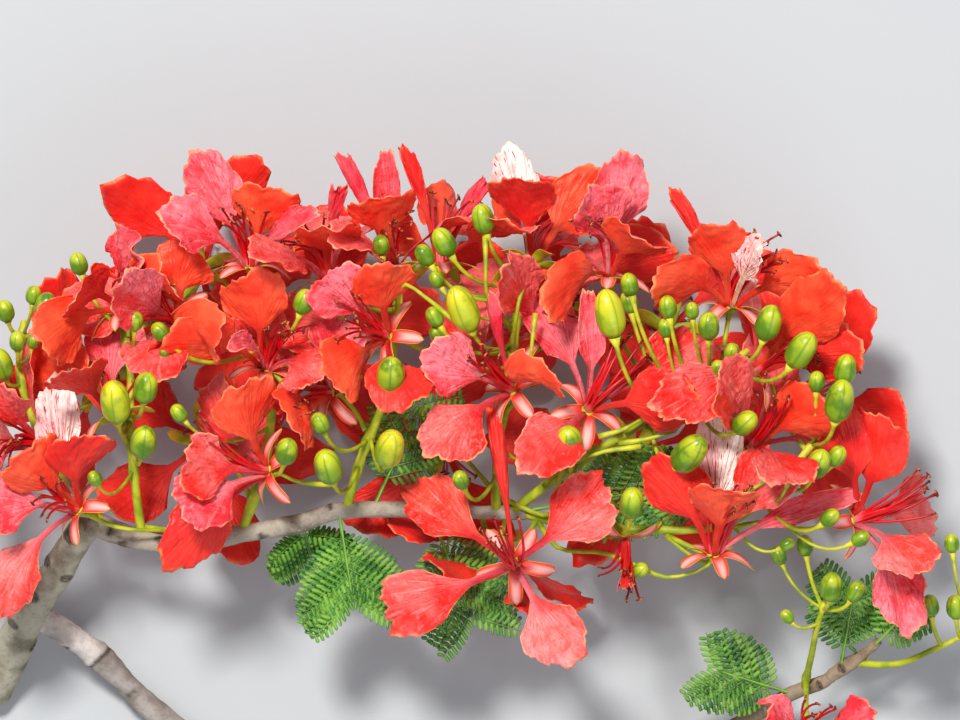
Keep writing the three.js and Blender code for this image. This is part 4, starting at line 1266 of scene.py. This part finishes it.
# %% Flower stalks with their buds
# These stalks carry no bud: their bloom has dropped or sits out of sight. Each is given by three places.
loose_stalks = {
    "raceme_right_upper": [[[598, 436, 126], [622, 429, 128], [646, 416, 124]],
                           [[618, 443, 124], [648, 438, 127], [676, 429, 122]],
                           [[584, 434, 116], [586, 424, 120], [587, 411, 121]],
                           [[560, 470, 118], [600, 452, 124], [640, 446, 126]]],
    "raceme_right_low": [[[629, 563, 112], [670, 577, 114], [711, 560, 115]],
                         [[761, 522, 110], [804, 529, 112], [845, 521, 105]],
                         [[560, 549, 104], [604, 553, 110], [638, 567, 116]],
                         [[700, 505, 124], [742, 492, 128], [786, 470, 124]]],
    "raceme_centre": [[[525, 280, 136], [519, 300, 139], [515, 324, 136]],
                      [[535, 314, 138], [532, 338, 140], [528, 363, 136]],
                      [[485, 237, 134], [486, 266, 137], [488, 298, 132]],
                      [[547, 516, 96], [556, 490, 112], [566, 458, 130]]],
    "raceme_left_centre": [[[403, 286, 142], [430, 301, 147], [456, 322, 143]],
                           [[388, 338, 119], [410, 344, 117], [432, 354, 112]]],
    "raceme_left": [[[269, 470, 117], [300, 482, 114], [332, 485, 106]],
                    [[267, 371, 115], [278, 377, 118], [287, 387, 116]]],
    "raceme_far_left": [[[82, 511, 110], [120, 528, 106], [168, 531, 96]]],
}

RIPE = [[463, 309], [608, 314], [120, 401], [391, 447]]
bud_count = 0
for name, raceme in racemes.items():
    rng = np.random.default_rng(len(name))
    axis = through(raceme["path"])
    radii = raceme["radii"]
    steps = np.linspace(0, 1, len(radii))
    knots = [nearest(axis, bloom["base"]) - 0.1 for bloom in blooms if bloom["on"] == name]
    stalks, buds = [], []
    for x, y, z, length in raceme["buds"] + raceme["small_buds"]:
        middle = place(x, y, z)
        leaves_at = bud_stalk_share(axis, middle)
        way, line = bud_stalk(axis(leaves_at), middle, length)
        knots.append(leaves_at)
        stalks.append(tube(pedicel_blank, line, bud_stalk_radius(length), "stalk"))
        skin = "ripe bud" if [x, y] in RIPE else "bud"
        buds.append((laid_bud(way, middle, length, rng), bud_blank, (skin,), None))

    def axis_radius(share, angle):
        swell = sum(0.9 * np.exp(-(((share - knot) / 0.022) ** 2)) for knot in knots)
        return np.interp(share, steps, radii) + np.minimum(swell, 1.1)

    for places in loose_stalks.get(name, []):
        spots = [place(*spot) for spot in places]
        gaps = [np.linalg.norm(axis(nearest(axis, spot)) - spot) for spot in (spots[0], spots[-1])]
        if gaps[1] < gaps[0]:
            spots.reverse()
        line = threaded(np.array([beside_axis(axis, radii, spots[0])] + spots))
        stalks.append(tube(pedicel_blank, line, loose_radius, "stalk"))
    stalks.append(tube(stalk_blank, axis, axis_radius, "stalk"))
    make_piece(name + "_stalks", stalks, [name])
    make_piece(name + "_buds", buds, [name])
    bud_count += len(buds)
print(bud_count, "buds; so far", sum(triangle_counts), "triangles")

# %% [markdown]
# ## Limbs
# The limbs are tubes along the places they go through, with a relief worked into their skin. Knots bulge
# round them in a spiral, and on each one an oval scar shows where a leaf fell: a raised lip round a dark
# hollow. Where the scars on the upper side are known, a table gives them, and the spiral keeps to the
# underside. The hollows and their pits are marked on the mesh for the bark's colour. The cut ends show
# pale wood.

# %% Limb tables
limbs = {
    "main_limb": {
        "path": [[-24, 700, 9.3], [0, 656, 26], [14, 629, 39], [27, 605, 50], [48, 580, 61], [64, 554, 71],
                 [86, 523, 82]],
        "radii": [11.2, 10.4, 9.9, 9.4, 8.7, 8.2, 7.4],
        "skin": "bark", "start": "cut", "knots": 9, "scar": 3.0,
    },
    "flower_twig": {
        "path": [[86, 523, 82], [135, 540, 85], [181, 544, 86], [234, 536, 87], [295, 525, 88],
                 [340, 512, 88], [413, 510, 88], [470, 513, 88], [526, 513, 87]],
        "radii": [6.4, 5.5, 5.4, 5.1, 4.8, 4.5, 4.3, 4.0, 3.6],
        "skin": "twig bark", "start": "twig bark", "knots": 12, "scar": 2.0,
    },
    "lower_limb_near": {
        "path": [[20, 618, 40], [40, 629, 34], [64, 645, 28], [88, 664, 22], [115, 692, 16], [143, 720, 11],
                 [215, 772, 7.2], [300, 803, 5.7]],
        "radii": [6.9, 6.7, 6.6, 7.1, 6.4, 6.3, 6.0, 5.7],
        "skin": "pale bark", "start": "pale bark", "knots": 8, "scar": 2.4,
    },
    "lower_limb_far": {
        "path": [[300, 803, 5.7], [400, 822, 4.9], [520, 822, 6.5], [630, 798, 12], [716, 752, 22]],
        "radii": [5.7, 5.2, 4.8, 4.5, 4.2],
        "skin": "young bark", "start": "bark", "knots": 11, "scar": 2.6,
    },
    "lower_right_twig": {
        "path": [[716, 752, 22], [793, 704, 36], [828, 689, 44], [842, 679, 48], [867, 661, 56],
                 [884, 645, 62]],
        "radii": [4.2, 3.8, 3.7, 3.4, 3.1, 2.4],
        "skin": "young bark", "start": "young bark", "knots": 8, "scar": 2.2,
    },
    "stub": {
        "path": [[-16, 596, 60], [6, 600, 55], [27, 605, 48]],
        "radii": [5.3, 5.6, 6.2],
        "skin": "bark", "start": "cut", "knots": 2, "scar": 2.6,
    },
}
seen_scars = {
    "main_limb": [[71, 533], [45, 560], [34, 592], [64, 575], [10, 620], [26, 652]],
    "flower_twig": [[110, 533], [157, 540], [120, 545], [206, 548], [261, 538], [330, 507]],
    "lower_limb_near": [[54, 655], [86, 664], [120, 700]],
    "lower_right_twig": [[828, 690], [850, 672]],
}
DARK_NODE = (88, 664)
KNOT_TURN = 2.4
UNDERSIDE = 0.1
PIT_SIZE = 0.7
RELIEF_STEPS = 200
LEAST_RISE = 2.0
limb_blank = tube_blank(44, 210)
for limb in limbs.values():
    limb["line"] = through(limb["path"])
    spots = limb["line"](np.linspace(0, 1, RELIEF_STEPS))
    limb["length"] = np.linalg.norm(np.diff(spots, axis=0), axis=1).sum()
    print("limb of", round(limb["length"]), "mm")


# %% Bark with knots and scars
def limb_relief(name, limb, rng):
    """A limb's skin as a function of share and angle. Its knots and scars are dealt out here."""
    count = limb["knots"]
    spots = (np.arange(count) + rng.uniform(0.25, 0.75, count)) / count
    turns = rng.uniform(0, ANY_ANGLE) + KNOT_TURN * np.arange(count)
    steps = np.linspace(0, 1, len(limb["radii"]))
    phase = rng.uniform(0, ANY_ANGLE, 6)
    size = limb["scar"]
    even = np.linspace(0, 1, RELIEF_STEPS)
    middle, side, other = rings_along(limb["line"], even)
    nearest_ring = np.round(spots * (RELIEF_STEPS - 1)).astype(int)
    upward = side[nearest_ring, 2] * np.cos(turns) + other[nearest_ring, 2] * np.sin(turns)
    if name in seen_scars:
        below = upward < UNDERSIDE
        spots, turns = spots[below], turns[below]

    def step_beside(across, down):
        """The step of the limb's line nearest to a spot on the view, and how far off the spot lies."""
        off = place(across, down, 0) - middle
        k = int(np.argmin(np.hypot(off[:, 0], off[:, 1])))
        return k, off[k, 0], off[k, 1]

    for scar in seen_scars.get(name, []):
        k, x, y = step_beside(*scar)
        radius = np.interp(even[k], steps, limb["radii"])
        way = np.array([x, y, math.sqrt(max(LEAST_RISE**2, radius**2 - x**2 - y**2))])
        spots = np.append(spots, even[k])
        turns = np.append(turns, math.atan2(way @ other[k], way @ side[k]))
    node_run = even[step_beside(*DARK_NODE)[0]] * limb["length"]

    def skin(share, angle):
        """The plain half width, what the relief adds to it, and the mark."""
        radius = np.interp(share, steps, limb["radii"])
        run = share * limb["length"]
        rough = 0.22 * np.sin(run / 2.7 + 3 * angle + phase[0]) * np.sin(run / 4.3 - 2 * angle + phase[1])
        rough += 0.16 * np.sin(run / 1.3 + phase[2] + 5 * angle) * np.sin(7 * angle + phase[3])
        lumps = 0.4 * np.sin(run / 9 + phase[4]) + 0.3 * np.sin(run / 6.1 + 2 * angle + phase[5])
        mark = np.zeros_like(share)
        for spot, turn in zip(spots, turns):
            down = run - spot * limb["length"]
            aside = (np.mod(angle - turn + math.pi, 2 * math.pi) - math.pi) * radius
            far = np.hypot(down / size, aside / size * 0.8)
            lumps += 0.24 * size * np.exp(-(far**2) / 3.4)
            rim = np.exp(-(((far - 0.92) / 0.2) ** 2))
            hollow = np.clip((0.86 - far) / 0.16, 0, 1)
            rough += 0.1 * size * rim - 0.11 * size * hollow
            pit_places = (aside + size * 0.42, aside - size * 0.42)
            pits = sum(np.exp(-((off / PIT_SIZE) ** 2) - (down / PIT_SIZE) ** 2) for off in pit_places)
            mark = np.maximum(mark, 0.8 * rim * (far < 1.15) + 0.5 * hollow + 0.6 * pits)
        if name == "lower_limb_near":
            ring = np.exp(-(((run - node_run + 0.8 * np.sin(2 * angle)) / 1.5) ** 2))
            beyond = 0.42 / (1 + np.exp((node_run - run) * 1.4))
            mark = np.maximum(mark, 0.75 * ring + beyond)
            lumps += 0.7 * np.exp(-(((run - node_run + 3) / 3.2) ** 2)) - 0.4 * ring
        return radius, lumps + rough, np.clip(mark, 0, 1)

    return skin


print("bark relief ready")

# %% Limbs
TIP_FROM = 0.955
TIP_REACH = 0.0451
RELIEF_FADE = 0.05
copies = []
for number, (name, limb) in enumerate(limbs.items()):
    relief = limb_relief(name, limb, np.random.default_rng(40 + number))

    def half_width(share, angle, name=name, relief=relief):
        radius, extra, _ = relief(share, angle)
        if name == "main_limb":
            past = np.clip(share - TIP_FROM, 0, 1) / TIP_REACH
            radius = radius * np.sqrt(np.clip(1 - past**2, 0, 1))
            extra = extra * np.clip((1 - share) / RELIEF_FADE, 0, 1)
        return radius + extra * 0.8

    x, y, z = limb_blank["points"].T
    mark = relief(z, np.arctan2(y, x))[2]
    names = (limb["skin"], limb["start"], limb["skin"])
    corners = sweep(limb_blank, limb["line"], half_width)
    piece = (corners, limb_blank, names, mark)
    if name in ("main_limb", "stub"):
        copies.append(piece)
    else:
        make_piece(name + "_bark", [piece], [name])
make_piece("main_limb_bark", copies, ["main_limb"])
print("so far", sum(triangle_counts), "triangles")

# %% [markdown]
# ## Leaves
# A flame tree's leaf is feathered twice: side ribs leave the main rib in pairs, and each carries two rows
# of small oblong leaflets. A leaflet is a flattened ball, dealt out along each side rib. Those that would
# meet a limb are left out.

# %% Leaflets
begin()
bpy.ops.mesh.primitive_uv_sphere_add(segments=6, ring_count=4, radius=1)
pick(lambda corners: 0.5 < abs(corners[0][2]) < 0.9)
bpy.ops.transform.resize(value=(1.25, 1.25, 1), center_override=(0, 0, 0))
leaflet_blank = harvest()
corner = leaflet_blank["points"][leaflet_blank["loops"]]
leaflet_blank["map"] = np.stack([corner[:, 0] / 2 + 0.5, corner[:, 2] / 2 + 0.5], axis=1)

leaves = {
    "leaf_below_twig": {"root": [338, 512, 88], "tip": [352, 600, 96], "pairs": 5, "feather": 40},
    "leaf_below_fork": {"root": [300, 524, 88], "tip": [310, 560, 62], "pairs": 4, "feather": 34},
    "leaf_front": {"root": [430, 511, 88], "tip": [470, 618, 92], "pairs": 5, "feather": 36},
    "leaf_centre": {"root": [372, 511, 88], "tip": [420, 405, 84], "pairs": 4, "feather": 32},
    "leaf_right": {"root": [518, 513, 87], "tip": [660, 490, 74], "pairs": 5, "feather": 34},
    "leaf_lower_near": {"root": [800, 701, 38], "tip": [722, 676, 52], "pairs": 4, "feather": 30},
    "leaf_lower_top": {"root": [846, 676, 50], "tip": [858, 596, 66], "pairs": 4, "feather": 32},
    "leaf_lower_end": {"root": [880, 649, 61], "tip": [912, 612, 78], "pairs": 3, "feather": 20},
}
LEAFLET_LENGTH = 6.6
LEAFLET_WIDTH = 2.4
LEAFLET_PITCH = 3.2
BARK_SPACE = 3
even = np.linspace(0, 1, 80)
bark_spots = np.vstack([limb["line"](even) for limb in limbs.values()])
bark_reach = np.concatenate([
    np.interp(even, np.linspace(0, 1, len(limb["radii"])), limb["radii"]) for limb in limbs.values()
])


def laid_leaflet(middle, along, flat, length):
    sideways = unit(np.cross(flat, along))
    x, y, z = (leaflet_blank["points"] * [LEAFLET_WIDTH / 2, 0.09, length / 2]).T
    droop = 0.05 * z**2
    return (middle + sideways * x[:, None] + along * z[:, None]
            + flat * (y + 0.12 * np.abs(x) - droop)[:, None])


def leaflets_along(line, length, skin, rng):
    """Two rows of leaflets on a side rib, without those that would meet a limb."""
    rows = []
    for j in range(int(length / LEAFLET_PITCH)):
        share = (j + 0.8) * LEAFLET_PITCH / length
        spot = line(min(share, 1))
        tangent = unit(line(min(share + 0.02, 1.02)) - line(share - 0.02))
        wide = unit(np.cross(EYE, tangent))
        size = LEAFLET_LENGTH * math.sin(math.pi * np.clip(0.16 + 0.76 * share, 0, 1)) ** 0.6
        for edge in (-1, 1):
            lean = unit(wide * edge + tangent * 0.45 + EYE * rng.uniform(-0.25, 0.15))
            middle = spot + lean * (size / 2 + 0.35)
            if (np.linalg.norm(bark_spots - middle, axis=1) < bark_reach + BARK_SPACE).any():
                continue
            flat = square_to(unit(EYE + rng.normal(size=3) * 0.12), lean)
            rows.append((laid_leaflet(middle, lean, flat, size), leaflet_blank, (skin,), None))
    return rows


print("leaflet blank and", len(leaves), "leaves")


# %% Leaves
for number, (name, leaf) in enumerate(leaves.items()):
    rng = np.random.default_rng(60 + number)
    root, tip = place(*leaf["root"]), place(*leaf["tip"])
    along = tip - root
    heading = unit(along)
    rib = arc(root, root + along * 0.5 + EYE * 6, tip)
    sideways = unit(np.cross(heading, EYE))
    side_pairs = 2 * leaf["pairs"] - 1
    ribs = [tube(stalk_blank, rib, taper(1.05, 0.4), "leaflet")]
    leaflets = []
    for k in range(side_pairs):
        step = k / (side_pairs - 1)
        for hand in (-1, 1):
            start = rib(0.3 + 0.68 * step)
            way = heading * 0.62 + sideways * hand * 0.78
            length = leaf["feather"] * (1 - 0.35 * abs(step - 0.45)) * rng.uniform(0.9, 1.0)
            end = start + way * length - EYE * (3 + k % 4)
            line = arc(start, start + way * length * 0.5 + EYE * 2.5, end)
            ribs.append(tube(filament_blank, line, taper(0.42, 0.2), "leaflet"))
            # Every third side rib takes the darker leaflet finish, which is painted shade.
            skin = "dark leaflet" if (k + number) % 3 == 0 else "leaflet"
            leaflets += leaflets_along(line, length, skin, rng)
    make_piece(name + "_leaflets", leaflets, [name])
    make_piece(name + "_ribs", ribs, [name])
print("so far", sum(triangle_counts), "triangles")

# %% [markdown]
# ## The floor and the end
# A pale floor lies under the branch. It isn't part of the object.

# %% Floor
begin()
bpy.ops.mesh.primitive_plane_add(size=8, location=(0, 0, 0))
floor = bpy.context.object
floor.name = "floor"
floor_finish = Finish("floor", Specular_IOR_Level=0.1)
floor.data.materials.append(floor_finish.finish(ink(186, 190, 194), 0.9, floor_finish.noise(3), 0.02))
print("floor laid")

# %% The size, and the end
bpy.context.view_layer.update()
print("triangles in all", sum(triangle_counts))
